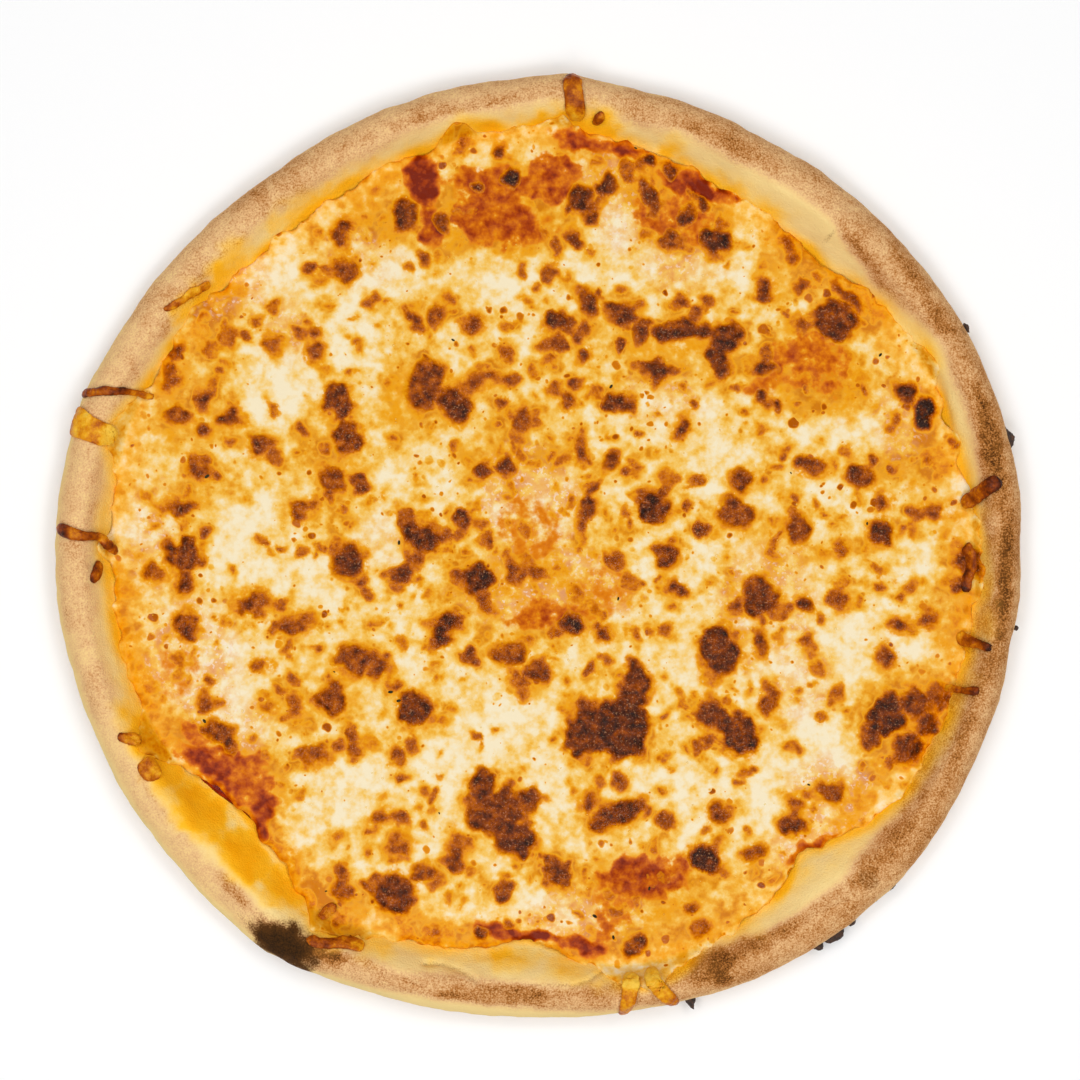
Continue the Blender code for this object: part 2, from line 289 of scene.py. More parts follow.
# %% Marks
def mark_field(points, marks, fade, fray=0.0, seed=1):
    """The deepest mark at each point. A mark is (x, y, half length, half width, turn, depth),
    in millimetres and degrees. It fades over that width across an edge that is frayed by that
    share of its size."""
    x, y = points[:, 0], points[:, 1]
    frayed = fray * (lumps(points, 3.6 * MM, seed) + 0.4 * lumps(points, 1.7 * MM, seed + 1))
    clear = np.ones(len(points))
    for centre_x, centre_y, long, wide, turn, depth in marks:
        dx, dy = x - centre_x * MM, y - centre_y * MM
        reach = (max(long, wide) * 1.3 + fade + 1.5) * MM
        near = (np.abs(dx) < reach) & (np.abs(dy) < reach)
        cos, sin = math.cos(math.radians(turn)), math.sin(math.radians(turn))
        u = (dx[near] * cos + dy[near] * sin) / (long * MM)
        v = (dy[near] * cos - dx[near] * sin) / (wide * MM)
        size = min(long, wide)
        inside = (1 - np.hypot(u, v) + frayed[near]) * size + 0.5 * fade
        clear[near] = np.minimum(clear[near], 1 - depth * smooth(inside / fade))
    return 1 - clear


def swayed(points, amount, size, seed):
    """The points pushed sideways by a smooth random amount, so that round marks come out lobed."""
    across = layered(points, size, seed, 2)
    along = layered(points, size, seed + 7, 2)
    return points + amount * np.stack([across, along, 0 * across], axis=1)


print("helpers for marks are ready")

# %% [markdown]
# ## Shader helpers
#
# Every finish here is a small tree of shader nodes. One helper adds a node, sets its values
# and links what is already a socket, which keeps the trees short to read. Patterns read
# Object coordinates: the pieces sit at the origin, so these are metres on the pizza, and a
# noise of size 2 mm has a scale of 1 / 0.002.


# %% Nodes
LAMP_DIM = 0.93  # the lamps shine a little brighter than a white table needs


def tone(red, green, blue):
    """A colour given from 0 to 255 as a screen shows it under these lamps, for a shader."""
    shown = [value / 255 for value in (red, green, blue)]
    light = [v / 12.92 if v < 0.04 else ((v + 0.055) / 1.055) ** 2.4 for v in shown]
    return (*[LAMP_DIM * value for value in light], 1)


def add(tree, kind, values=None, **settings):
    """Add a node. Values are numbers or sockets, by the name or number of the input."""
    node = tree.nodes.new(kind)
    for name, value in settings.items():
        setattr(node, name, value)
    for name, value in (values or {}).items():
        if isinstance(value, bpy.types.NodeSocket):
            tree.links.new(value, node.inputs[name])
        else:
            node.inputs[name].default_value = value
    return node


def math_of(tree, operation, *values):
    """The result of a Math node."""
    node = add(tree, "ShaderNodeMath", dict(enumerate(values)), operation=operation)
    return node.outputs[0]


def attribute(tree, name):
    """A field that is stored on the mesh."""
    return add(tree, "ShaderNodeAttribute", attribute_name=name).outputs["Fac"]


def place_of(tree, shift=0.0):
    """Object coordinates, moved by a shift."""
    place = add(tree, "ShaderNodeTexCoord").outputs["Object"]
    return add(tree, "ShaderNodeVectorMath", {0: place, 1: (shift,) * 3}).outputs[0]


def swaying_place(tree, amount, size):
    """Object coordinates that sway by smooth noise of that size, so that spots come out lobed."""
    place = place_of(tree)
    values = {"Vector": place, "Scale": 1 / size, "Detail": 1}
    noise = add(tree, "ShaderNodeTexNoise", values).outputs["Color"]
    values = {0: noise, 1: (amount,) * 3, 2: place}
    return add(tree, "ShaderNodeVectorMath", values, operation="MULTIPLY_ADD").outputs[0]


def grain(tree, size, detail=2.0, roughness=0.5, shift=0.0):
    """Noise round 0.5 with lumps of that size."""
    values = {"Vector": place_of(tree, shift), "Scale": 1 / size, "Detail": detail}
    values["Roughness"] = roughness
    return add(tree, "ShaderNodeTexNoise", values).outputs[0]


def spots(tree, place, size, share, edge, crowd):
    """Spots one to a cell of that size: how far inside one, over that edge, and its own chance.
    Only a share of the cells hold one, and the crowd socket scales them all."""
    cells = add(tree, "ShaderNodeTexVoronoi", {"Vector": place, "Scale": 1 / size})
    chance = add(tree, "ShaderNodeSeparateColor", {"Color": cells.outputs["Color"]})
    values = {"Value": chance.outputs[0], "From Min": 1 - share, "To Min": 0.10, "To Max": 0.40}
    radius = add(tree, "ShaderNodeMapRange", values).outputs[0]
    radius = math_of(tree, "MULTIPLY", radius, crowd)
    inside = math_of(tree, "SUBTRACT", radius, cells.outputs["Distance"])
    held = math_of(tree, "GREATER_THAN", chance.outputs[0], 1 - share)
    return math_of(tree, "MULTIPLY", step_up(tree, inside, 0.0, edge), held), chance.outputs[1]


def ramp(tree, value, stops):
    """Colours along a value, from stops of (position, colour)."""
    node = add(tree, "ShaderNodeValToRGB", {"Fac": value})
    bar = node.color_ramp.elements
    bar[0].position, bar[1].position = stops[0][0], stops[-1][0]
    for position, _ in stops[1:-1]:
        bar.new(position)
    for element, (_, colour) in zip(bar, stops):
        element.color = colour
    return node.outputs["Color"]


def blend(tree, share, first, second):
    """The first colour where the share is 0 and the second where it is 1."""
    node = add(tree, "ShaderNodeMix", {"Factor": share}, data_type="RGBA")
    for socket, colour in ((node.inputs[6], first), (node.inputs[7], second)):
        if isinstance(colour, bpy.types.NodeSocket):
            tree.links.new(colour, socket)
        else:
            socket.default_value = colour
    return node.outputs[2]


def step_up(tree, value, low, high):
    """0 below low, 1 above high, smooth between."""
    values = {"Value": value, "From Min": low, "From Max": high}
    return add(tree, "ShaderNodeMapRange", values, interpolation_type="SMOOTHSTEP").outputs[0]


def stretched(tree, value, low, high):
    """A value from 0 to 1, made to run from low to high."""
    values = {"Value": value, "To Min": low, "To Max": high}
    return add(tree, "ShaderNodeMapRange", values).outputs[0]


def new_finish(name):
    """An empty material: its tree and its shader."""
    material = bpy.data.materials.new(name)
    material.use_nodes = True
    return material, material.node_tree, material.node_tree.nodes["Principled BSDF"]


def bump(tree, shader, height, depth):
    """Fine relief that is too small for the mesh, of that depth."""
    values = {"Height": height, "Distance": depth, "Strength": 1.0}
    node = add(tree, "ShaderNodeBump", values)
    tree.links.new(node.outputs[0], shader.inputs["Normal"])


print("shader helpers are ready")

# %% [markdown]
# ## Relief with Geometry Nodes
#
# The dough, the cheese and the shreds all share one rule: the baked surface rises where it
# blistered, and has a fine grain everywhere. That rule is one Geometry Nodes tree. It reads
# a field named `rise` from the mesh, adds noise where the field `free` lets it, and moves
# each point along its normal. Its inputs name the sizes, so each piece sets its own.
# Afterwards the result is kept as a plain mesh, which any other tool can read.


# %% Relief tree
def new_tree(name, inputs):
    """A Geometry Nodes tree with a geometry input and output, and the named inputs."""
    tree = bpy.data.node_groups.new(name, "GeometryNodeTree")
    tree.interface.new_socket("Geometry", in_out="INPUT", socket_type="NodeSocketGeometry")
    for label, kind, value in inputs:
        socket = tree.interface.new_socket(label, in_out="INPUT", socket_type=kind)
        if value is not None:
            socket.default_value = value
    tree.interface.new_socket("Geometry", in_out="OUTPUT", socket_type="NodeSocketGeometry")
    return tree, tree.nodes.new("NodeGroupInput").outputs


def close_tree(tree, geometry, material):
    """End the tree: real geometry instead of instances, in its material."""
    real = add(tree, "GeometryNodeRealizeInstances", {0: geometry})
    values = {"Geometry": real.outputs[0], "Material": material}
    painted = add(tree, "GeometryNodeSetMaterial", values)
    add(tree, "NodeGroupOutput", {0: painted.outputs[0]})


def named(tree, name):
    """A stored field, inside a Geometry Nodes tree."""
    return add(tree, "GeometryNodeInputNamedAttribute", {"Name": name}).outputs["Attribute"]


def relief_tree():
    """The rule above as a tree, with its sizes as inputs."""
    inputs = [
        ("Rise Height", "NodeSocketFloat", 0.001),
        ("Grain Height", "NodeSocketFloat", 0.0001),
        ("Grain Size", "NodeSocketFloat", 0.002),
        ("Seed", "NodeSocketFloat", 0.0),
        ("Finish", "NodeSocketMaterial", None),
    ]
    tree, given = new_tree("baked_relief", inputs)
    scale = math_of(tree, "DIVIDE", 1.0, given["Grain Size"])
    values = {"W": given["Seed"], "Scale": scale, "Detail": 2.0}
    noise = add(tree, "ShaderNodeTexNoise", values, noise_dimensions="4D").outputs[0]
    fine = math_of(tree, "MULTIPLY", math_of(tree, "SUBTRACT", noise, 0.5), given["Grain Height"])
    fine = math_of(tree, "MULTIPLY", fine, named(tree, "free"))
    high = math_of(tree, "MULTIPLY", named(tree, "rise"), given["Rise Height"])
    normal = add(tree, "GeometryNodeInputNormal").outputs[0]
    values = {0: normal, "Scale": math_of(tree, "ADD", high, fine)}
    offset = add(tree, "ShaderNodeVectorMath", values, operation="SCALE").outputs[0]
    moved = add(tree, "GeometryNodeSetPosition", {"Geometry": given["Geometry"], "Offset": offset})
    close_tree(tree, moved.outputs[0], given["Finish"])
    return tree


def grow(name, mesh, tree, **sizes):
    """Run a tree on a mesh and keep the result as a plain piece of that name."""
    carrier = bpy.data.objects.new(name + "_carrier", mesh)
    scene.collection.objects.link(carrier)
    modifier = carrier.modifiers.new("grow", "NODES")
    modifier.node_group = tree
    for item in tree.interface.items_tree:
        label = item.name.lower().replace(" ", "_")
        if item.in_out == "INPUT" and label in sizes:
            modifier[item.identifier] = sizes[label]
    grown = carrier.evaluated_get(bpy.context.evaluated_depsgraph_get())
    result = bpy.data.meshes.new_from_object(grown)
    carrier.modifiers.remove(modifier)
    bpy.data.objects.remove(carrier)
    result.name = name
    piece = bpy.data.objects.new(name, result)
    scene.collection.objects.link(piece)
    result.shade_smooth()
    return piece


RELIEF = relief_tree()
print("the relief tree has", len(RELIEF.nodes), "nodes")


# %% Meshes and surfaces
def mesh_from(name, points, faces, fields):
    """A mesh with its stored fields, one number for each point."""
    mesh = bpy.data.meshes.new(name)
    mesh.from_pydata(points, [], faces)
    for label, values in fields.items():
        layer = mesh.attributes.new(label, "FLOAT", "POINT")
        layer.data.foreach_set("value", np.ascontiguousarray(values, np.float32))
    mesh.update()
    return mesh


def triangles_of(piece):
    """How many triangles a piece has."""
    piece.data.calc_loop_triangles()
    return len(piece.data.loop_triangles)


def tree_over(*pieces):
    """The surfaces of several pieces, for finding what lies under a point."""
    points, faces = [], []
    for piece in pieces:
        start = len(points)
        points += [v.co.copy() for v in piece.data.vertices]
        faces += [[start + i for i in face.vertices] for face in piece.data.polygons]
    return BVHTree.FromPolygons(points, faces)


def height_under(surface, points, floor_height):
    """The height of a surface under each point, or the floor's height where there is none."""
    heights = np.full(len(points), floor_height)
    down = Vector((0, 0, -1))
    for i, (x, y) in enumerate(points[:, :2]):
        hit = surface.ray_cast(Vector((x, y, 0.1)), down)[0]
        if hit is not None:
            heights[i] = hit.z
    return heights


print("helpers for meshes are ready")

# %% [markdown]
# ## The dough
#
# The rim is a hand-stretched roll of dough. The oven dries and toasts its crest, leaves the
# slope down to the cheese pale, and chars it where it touched a hot stone. A lathe would
# give a perfect ring, so the rim is lofted from its own sections instead, then lumps,
# creases and a fold are pressed into it. What was toasted, oiled or burnt is stored on the
# mesh as fields, by angle and radius, which is how one looks round a pizza. Painted shade
# along the creases is stored with the soot.


# %% Places round the rim
def flat(angle, radius):
    """x and y of a place, from its angle in degrees and its radius."""
    return radius * math.cos(math.radians(angle)), radius * math.sin(math.radians(angle))


def round_marks(marks):
    """Marks given as (angle, radius, half depth, half width, strength), as mark_field reads
    them: the depth runs towards the middle and the width runs round the pizza."""
    return [(*flat(angle, r), deep, wide, angle, amount) for angle, r, deep, wide, amount in marks]


def round_humps(angle, base, terms):
    """A value round the pizza: a base and smooth humps of (angle, half width, amount)."""
    total = np.full(angle.shape, float(base))
    for centre, width, amount in terms:
        total += amount * np.exp(-((((angle - centre + 180) % 360 - 180) / width) ** 2))
    return total


def line_distance(points, stops):
    """The distance, in millimetres, from each point to a line of (angle, radius) stops."""
    ends = np.array([flat(angle, radius) for angle, radius in stops])
    best = np.full(len(points), 1e3)
    for start, end in zip(ends, ends[1:]):
        along = end - start
        share = np.clip((points[:, :2] / MM - start) @ along / (along @ along), 0, 1)
        gap = points[:, :2] / MM - start - share[:, None] * along
        best = np.minimum(best, np.hypot(gap[:, 0], gap[:, 1]))
    return best


print("86 degrees on the rim is at", [round(v, 1) for v in flat(86, 153)])

# %% Rim mesh
ROWS_TO_A_SPAN = 4
EQUATOR_ROW = 3 * ROWS_TO_A_SPAN
section = finer(finer(PROFILE, FINE, True).transpose(1, 0, 2), ROWS_TO_A_SPAN, False)
rows, columns = section.shape[:2]
turns = np.tile(np.arange(columns) * 2 * np.pi / columns, (rows, 1))
radius, height = section[..., 0], section[..., 1]
rim_points = np.stack([radius * np.cos(turns), radius * np.sin(turns), height], axis=2)
rim_points = rim_points.reshape(-1, 3)
degrees = np.degrees(turns).ravel()
inset = (along_edge(OUTLINE, turns) - radius).ravel() / MM
row_number = np.repeat(np.arange(rows), columns)
on_top = smooth((row_number - EQUATOR_ROW + 3) / 3)
from_cheese = (radius - along_edge(CHEESE_EDGE, turns)).ravel() / MM
print("the rim has", rows, "rings of", columns, "points")

# %% Toast, oil and soot
TAN_REACH = (  # how far in the toasted band reaches, in millimetres, round the rim
    (5, 14, 2), (38, 7, 5.5), (62, 16, 0.8), (95, 14, -0.5), (122, 14, 2), (150, 14, 4),
    (175, 12, 3), (200, 12, 2), (262, 14, 2), (295, 12, 3), (320, 14, 4), (334, 9, 5), (352, 12, 2),
)
TOAST_ROUND = (  # how much more or less the band is toasted: angle, half width, amount
    (350, 34, 0.10), (14, 20, 0.10), (38, 14, 0.03), (318, 22, 0.06), (292, 9, 0.10),
    (104, 22, -0.04), (156, 8, -0.04), (170, 12, -0.12), (215, 26, -0.20), (240, 8, 0.10),
    (264, 14, 0.03), (64, 16, 0.04),
)
PALE_FLANK = ((215, 42, 2.6), (262, 18, 4.0), (170, 14, 1.0))
# Marks on the rim: angle, radius, half depth, half width, strength
CHAR = ((237.4, 152.4, 6.4, 12.0, 0.90), (239.5, 149.0, 3, 8, 0.35), (234.5, 150, 4, 6, 0.3))
SOOT = (
    (314.5, 150.5, 4.2, 3.0, 0.40), (298.3, 141.0, 4, 2.8, 0.12), (292.0, 149, 4, 3.6, 0.24),
    (16, 147.2, 0.9, 7, 0.40), (19.5, 147.6, 1.0, 3.2, 0.34), (12.4, 150, 2.4, 1.8, 0.40),
    (18, 151, 1.2, 2.4, 0.30), (2, 148.8, 0.8, 5, 0.34), (357, 150, 0.8, 6, 0.30),
    (50, 150, 0.8, 1.2, 0.5), (60.5, 144, 2.6, 0.9, 0.30), (47, 136.6, 2.2, 0.7, 0.42),
    (27, 153, 0.8, 1.8, 0.5), (264.3, 142.8, 1.2, 2.4, 0.26), (350, 154.6, 0.7, 1, 0.5),
)
BROWN = (
    (102, 142.4, 2.4, 20, 0.30), (106, 145.8, 3, 6, 0.16), (129, 146.8, 3, 6, 0.22),
    (66, 142.6, 2.6, 17, 0.28), (262, 146.9, 3, 7, 0.40), (257, 147.9, 1.6, 5, 0.24),
    (266, 144.0, 4, 16, 0.36), (278, 143.5, 4, 9, 0.26), (292, 146, 7, 7, 0.40),
    (298.5, 142, 6, 4, 0.40), (302, 142, 4, 8, 0.24), (271, 141, 3, 18, 0.20),
    (300, 144.6, 4, 14, 0.22), (318, 146.3, 5, 18, 0.18), (340, 148.3, 2, 26, 0.28),
    (356, 149.3, 2.2, 18, 0.46), (12, 148.0, 3.2, 18, 0.40), (34, 147.6, 2.6, 14, 0.26),
    (42, 136.5, 4.5, 14, 0.26), (277.5, 139.3, 1.2, 4, 0.25), (214, 146.5, 2.4, 12, 0.20),
    (239, 146, 5, 15, 0.62), (229, 147, 3.6, 9, 0.44), (233, 143.2, 1.6, 7, 0.36),
)
CREAM = (
    (60, 136.0, 3, 18, 0.9), (18, 140, 3, 24, 0.9), (314, 141, 4, 14, 0.7), (150, 141, 4, 12, 0.6),
)
OIL = (
    (86, 135.2, 7, 16, 0.95), (82, 138.2, 4, 6, 0.8), (115, 131.2, 5, 16, 0.75),
    (125, 131.8, 6, 14, 0.7), (138, 132.8, 7, 10, 0.75), (146, 134.2, 7, 10, 0.75),
    (158, 132.2, 6, 8, 0.7), (166, 138.8, 6, 8, 0.4), (179, 138.8, 5, 7, 0.55),
    (190, 139.2, 4, 14, 0.36), (198, 139.6, 4, 9, 0.55), (204, 142.0, 5, 9, 0.85),
    (211, 140.8, 6, 9, 0.9), (218, 139.0, 7, 14, 0.95), (226, 138.4, 7, 12, 0.95),
    (234, 137.2, 7, 12, 0.9), (241, 138.6, 8, 9, 0.8), (247, 138.2, 6, 8, 0.6),
    (255, 134.2, 5, 12, 0.55), (265, 133.0, 4, 12, 0.75), (274, 136.2, 5, 9, 0.6),
    (281, 138.2, 7, 10, 0.7), (289, 139.2, 6, 8, 0.6), (299, 138.2, 5, 5, 0.6),
    (306, 135.2, 3, 9, 0.7), (318, 138.6, 2.4, 12, 0.6), (335, 141.2, 5, 14, 0.24),
    (343, 141.2, 6, 6, 0.5), (350, 142.2, 6, 8, 0.55), (358, 141, 4, 9, 0.45), (5, 139, 5, 8, 0.55),
    (27, 137.2, 4, 7, 0.5), (34, 135.2, 3, 6, 0.7), (56, 130.6, 3, 8, 0.9), (62, 131.2, 3, 9, 0.85),
    (72, 134.2, 4, 5, 0.8), (12, 135.2, 5, 12, 0.4), (101, 135.2, 5, 4, 0.8),
)

reach = round_humps(degrees, 11.5, TAN_REACH) + 1.5 * lumps(rim_points, 9 * MM, 11)
pale_edge = round_humps(degrees, 0.3, PALE_FLANK)
band = smooth((inset - pale_edge + 2.2) / 3.5) * smooth((reach + 2 - inset) / 4.5)
level = round_humps(degrees, 0.46, TOAST_ROUND)
toast = band * (level + 0.10 * layered(rim_points, 10 * MM, 12))
toast += 0.7 * band * mark_field(rim_points, round_marks(BROWN), fade=3.5, fray=0.3, seed=13)
toast -= 0.10 * mark_field(rim_points, round_marks(CREAM), fade=4, fray=0.2, seed=14)
toast = np.where(row_number < EQUATOR_ROW, 0.32 + 0.10 * layered(rim_points, 7 * MM, 15), toast)
soot_and_crease_shade = mark_field(rim_points, round_marks(SOOT), fade=1.8, fray=0.2, seed=16) * on_top
char = mark_field(rim_points, round_marks(CHAR), fade=7.5, fray=0.3, seed=19)
soot_and_crease_shade = np.maximum(soot_and_crease_shade, char)
near = smooth(1 - from_cheese / 5.5) * (0.66 + 0.34 * lumps(rim_points, 8 * MM, 17))
oil = mark_field(rim_points, round_marks(OIL), fade=9.0, fray=0.3, seed=18)
oil *= 0.95 + 0.12 * layered(rim_points, 7 * MM, 20)
oil = np.maximum(near, oil) * on_top
print("toast runs from", round(toast.min(), 2), "to", round(toast.max(), 2))

# %% Lumps, creases and the fold
CREASES = (  # stops of (angle, radius), half width and depth in millimetres
    (((254.8, 147), (252, 145.6), (250, 145.4), (247.5, 146.2)), 0.7, 0.9),
    (((262.4, 142.2), (260.5, 139.7), (258.5, 138.7), (256.5, 138.5), (254.3, 139.6)), 0.7, 0.9),
    (((266.0, 144.4), (264.3, 143.9), (263.2, 142.2)), 0.6, 0.7),
    (((310.9, 151.4), (309.3, 149.4), (307, 148.3), (303.5, 148.1), (299, 148.4)), 0.8, 1.0),
    (((361.5, 150.2), (359, 149.2), (356, 149), (351, 149.6), (346, 149.4)), 0.6, 0.5),
    (((274.0, 141.6), (270, 140.9), (267, 141.2)), 0.6, 0.4),
    (((278.4, 139), (276.5, 140.8), (274.2, 141.6)), 0.6, 0.6),
)
FOLD = (  # stops of (angle, radius)
    (34, 134.9), (30, 137), (26.5, 139.7), (23, 141.6), (18, 141), (13.5, 140), (10.5, 137.4),
    (8.4, 133.9),
)

rise = 0.55 * layered(rim_points, 17 * MM, 21) + 0.16 * layered(rim_points, 5 * MM, 24)
for stops, half_width, depth in CREASES:
    pressed = np.exp(-((line_distance(rim_points, stops) / half_width) ** 2))
    rise -= depth * pressed * (1.0 + 0.4 * lumps(rim_points, 4 * MM, 27))
    # Painted shade: a dark line is painted along each crease, over the pressed groove.
    soot_and_crease_shade = np.maximum(soot_and_crease_shade, 0.30 * pressed * on_top)
fold_gap = line_distance(rim_points, FOLD)
rise += 0.7 * np.exp(-((fold_gap / 1.6) ** 2))
free = np.where(row_number == 0, 0.0, smooth(row_number / 6))
rise *= free * smooth((rows - 1 - row_number) / 6)
print("the rim rises by", round(rise.min(), 2), "to", round(rise.max(), 2), "mm")


# %% Close the dough and grow its relief
def ring_faces(first, second, count):
    """Quads between two rings, given the number of their first points."""
    sides = [(i, (i + 1) % count) for i in range(count)]
    return [(first + i, first + j, second + j, second + i) for i, j in sides]


def fan_faces(ring, centre, count, upwards):
    """Triangles between a ring and one point in its middle."""
    pairs = [(ring + i, ring + (i + 1) % count) for i in range(count)]
    return [(a, b, centre) if upwards else (b, a, centre) for a, b in pairs]


UNDER_SHARES = (0.92, 0.8, 0.62, 0.42, 0.22)
foot = rim_points[:columns]
under = np.concatenate([foot * (share, share, 1) for share in UNDER_SHARES])
middles = np.array([(0, 0, 0), (0, 0, rim_points[-1, 2])])
dough_points = np.concatenate([rim_points, under, middles])
under_toast = 0.32 + 0.30 * layered(np.concatenate([under, middles]), 11 * MM, 31)
under_soot = smooth((layered(np.concatenate([under, middles]), 8 * MM, 33) - 0.45) / 0.5) * 0.5
blank = np.zeros(len(under) + len(middles))

faces = []
for row in range(rows - 1):
    faces += ring_faces(row * columns, (row + 1) * columns, columns)
rings = [0] + [len(rim_points) + i * columns for i in range(len(UNDER_SHARES))]
for outer, inner in zip(rings, rings[1:]):
    faces += ring_faces(inner, outer, columns)
faces += fan_faces(rings[-1], len(dough_points) - 2, columns, False)
faces += fan_faces((rows - 1) * columns, len(dough_points) - 1, columns, True)

dough_fields = {
    "rise": np.append(rise, blank),
    "free": np.append(free, blank),
    "toast": np.append(toast, under_toast),
    "soot_and_crease_shade": np.append(soot_and_crease_shade, under_soot),
    "oil": np.append(oil, blank),
}


# %% Dough finish
def dough_finish():
    """Matt flour-dusted dough: toasted specks over cream, yellow where oil soaked in."""
    material, tree, shader = new_finish("baked_dough")
    fine = grain(tree, 0.55 * MM, detail=1, roughness=0.6)
    middling = grain(tree, 1.3 * MM, detail=2, roughness=0.6, shift=0.15)
    coarse = grain(tree, 5 * MM, detail=3, roughness=0.6, shift=0.3)
    specks = math_of(tree, "MULTIPLY", math_of(tree, "SUBTRACT", fine, 0.5), 0.9)
    specks = math_of(tree, "MULTIPLY_ADD", math_of(tree, "SUBTRACT", middling, 0.5), 0.32, specks)
    patches = math_of(tree, "MULTIPLY", math_of(tree, "SUBTRACT", coarse, 0.5), 0.50)
    toasted = attribute(tree, "toast")
    mixed = math_of(tree, "ADD", specks, patches)
    mixed = math_of(tree, "MULTIPLY", mixed, step_up(tree, toasted, -0.1, 0.5))
    shade = math_of(tree, "ADD", toasted, mixed)
    browned = ramp(
        tree,
        shade,
        [
            (0.00, tone(254, 222, 150)),
            (0.18, tone(248, 208, 140)),
            (0.38, tone(235, 187, 132)),
            (0.55, tone(214, 158, 102)),
            (0.72, tone(184, 118, 56)),
            (0.88, tone(134, 80, 30)),
            (1.00, tone(80, 46, 18)),
        ],
    )
    wet = math_of(tree, "MULTIPLY_ADD", patches, 0.45, attribute(tree, "oil"))
    wet = math_of(tree, "ADD", wet, math_of(tree, "MULTIPLY", specks, 0.16))
    soaked = ramp(
        tree,
        wet,
        [
            (0.0, tone(255, 214, 116)),
            (0.4, (1.0, 0.60, 0.075, 1)),
            (0.7, (1.0, 0.50, 0.015, 1)),
            (1.0, (0.97, 0.40, 0.003, 1)),
        ],
    )
    amber = math_of(tree, "MULTIPLY", step_up(tree, shade, 0.42, 0.75), 0.6)
    soaked = blend(tree, amber, soaked, tone(200, 108, 6))
    colour = blend(tree, step_up(tree, wet, 0.0, 0.80), browned, soaked)
    # This field holds soot, char and the painted shade along the creases; all of it darkens towards
    # charred brown.
    burnt = math_of(tree, "ADD", attribute(tree, "soot_and_crease_shade"), math_of(tree, "MULTIPLY", specks, 0.6))
    char_colours = [(0.3, tone(150, 92, 34)), (0.6, tone(96, 58, 22)), (1.0, tone(46, 30, 14))]
    charred = ramp(tree, burnt, char_colours)
    colour = blend(tree, step_up(tree, burnt, 0.10, 0.70), colour, charred)
    tree.links.new(colour, shader.inputs["Base Color"])
    rough = stretched(tree, step_up(tree, wet, 0.2, 0.9), 0.82, 0.42)
    tree.links.new(rough, shader.inputs["Roughness"])
    bump(tree, shader, math_of(tree, "ADD", fine, coarse), 0.25 * MM)
    shader.inputs["Specular IOR Level"].default_value = 0.06
    return material


dough_mesh = mesh_from("dough", dough_points, faces, dough_fields)
dough = grow(
    "dough",
    dough_mesh,
    RELIEF,
    rise_height=MM,
    grain_height=0.22 * MM,
    grain_size=1.6 * MM,
    seed=1.0,
    finish=dough_finish(),
)
print("the dough has", triangles_of(dough), "triangles")

# %% [markdown]
# ## The cheese
#
# Melted cheese is one sheet over the sauce. Where it stands thin, the sauce shows through
# and the fat turns orange. Where it bubbled up, the skin browned, from small amber freckles
# to nearly black blisters. The sheet is a disc of rings: ring k has 6k points, so that every
# face has much the same size. Its edge runs up the inner slope and ends in a thin lip on the
# dough. Given lists hold the marks that one would recognise this pizza by, and seeded
# random freckles fill the rest.

# %% Sheet of cheese
RINGS = 164
LIP_WIDTH = 3.0 * MM
LEVEL = 6.2 * MM  # the height at which the sheet lies on the sauce
FULL = 2.6 * MM  # thickness in the middle
THIN = 0.45 * MM  # thickness just inside the lip
THIN_WIDTH = 14 * MM
dough_surface = tree_over(dough)

ring_of = np.concatenate([[0]] + [np.full(6 * k, k) for k in range(1, RINGS + 1)])
step_of = np.concatenate([[0]] + [np.arange(6 * k) for k in range(1, RINGS + 1)])
angle_of = 2 * np.pi * step_of / np.maximum(6 * ring_of, 1)
edge_at = along_edge(CHEESE_EDGE, angle_of)
edge_points = [edge_at * np.cos(angle_of), edge_at * np.sin(angle_of), 0 * edge_at]
edge_points = np.stack(edge_points, axis=1)
edge_at = edge_at + 1.7 * MM * layered(edge_points, 7 * MM, 41, 3)
sheet_radius = edge_at * ring_of / RINGS
inwards = edge_at - sheet_radius
sheet = [sheet_radius * np.cos(angle_of), sheet_radius * np.sin(angle_of), 0 * edge_at]
sheet = np.stack(sheet, axis=1)

outer_band = inwards < 34 * MM
bed = np.full(len(sheet), LEVEL)
dough_height = height_under(dough_surface, sheet[outer_band], LEVEL)
bed[outer_band] = np.maximum(LEVEL, dough_height + 0.1 * MM)
thickness = THIN + (FULL - THIN) * np.sqrt(np.clip(inwards / THIN_WIDTH, 0, 1))
lip = np.clip(1 - inwards / LIP_WIDTH, 0, 1)
thickness -= (THIN - 0.08 * MM) * (1 - np.sqrt(1 - lip**2))
sheet[:, 2] = bed + thickness
print("the sheet has", len(sheet), "points, and is", round(float(sheet[0, 2]) / MM, 1), "mm high")
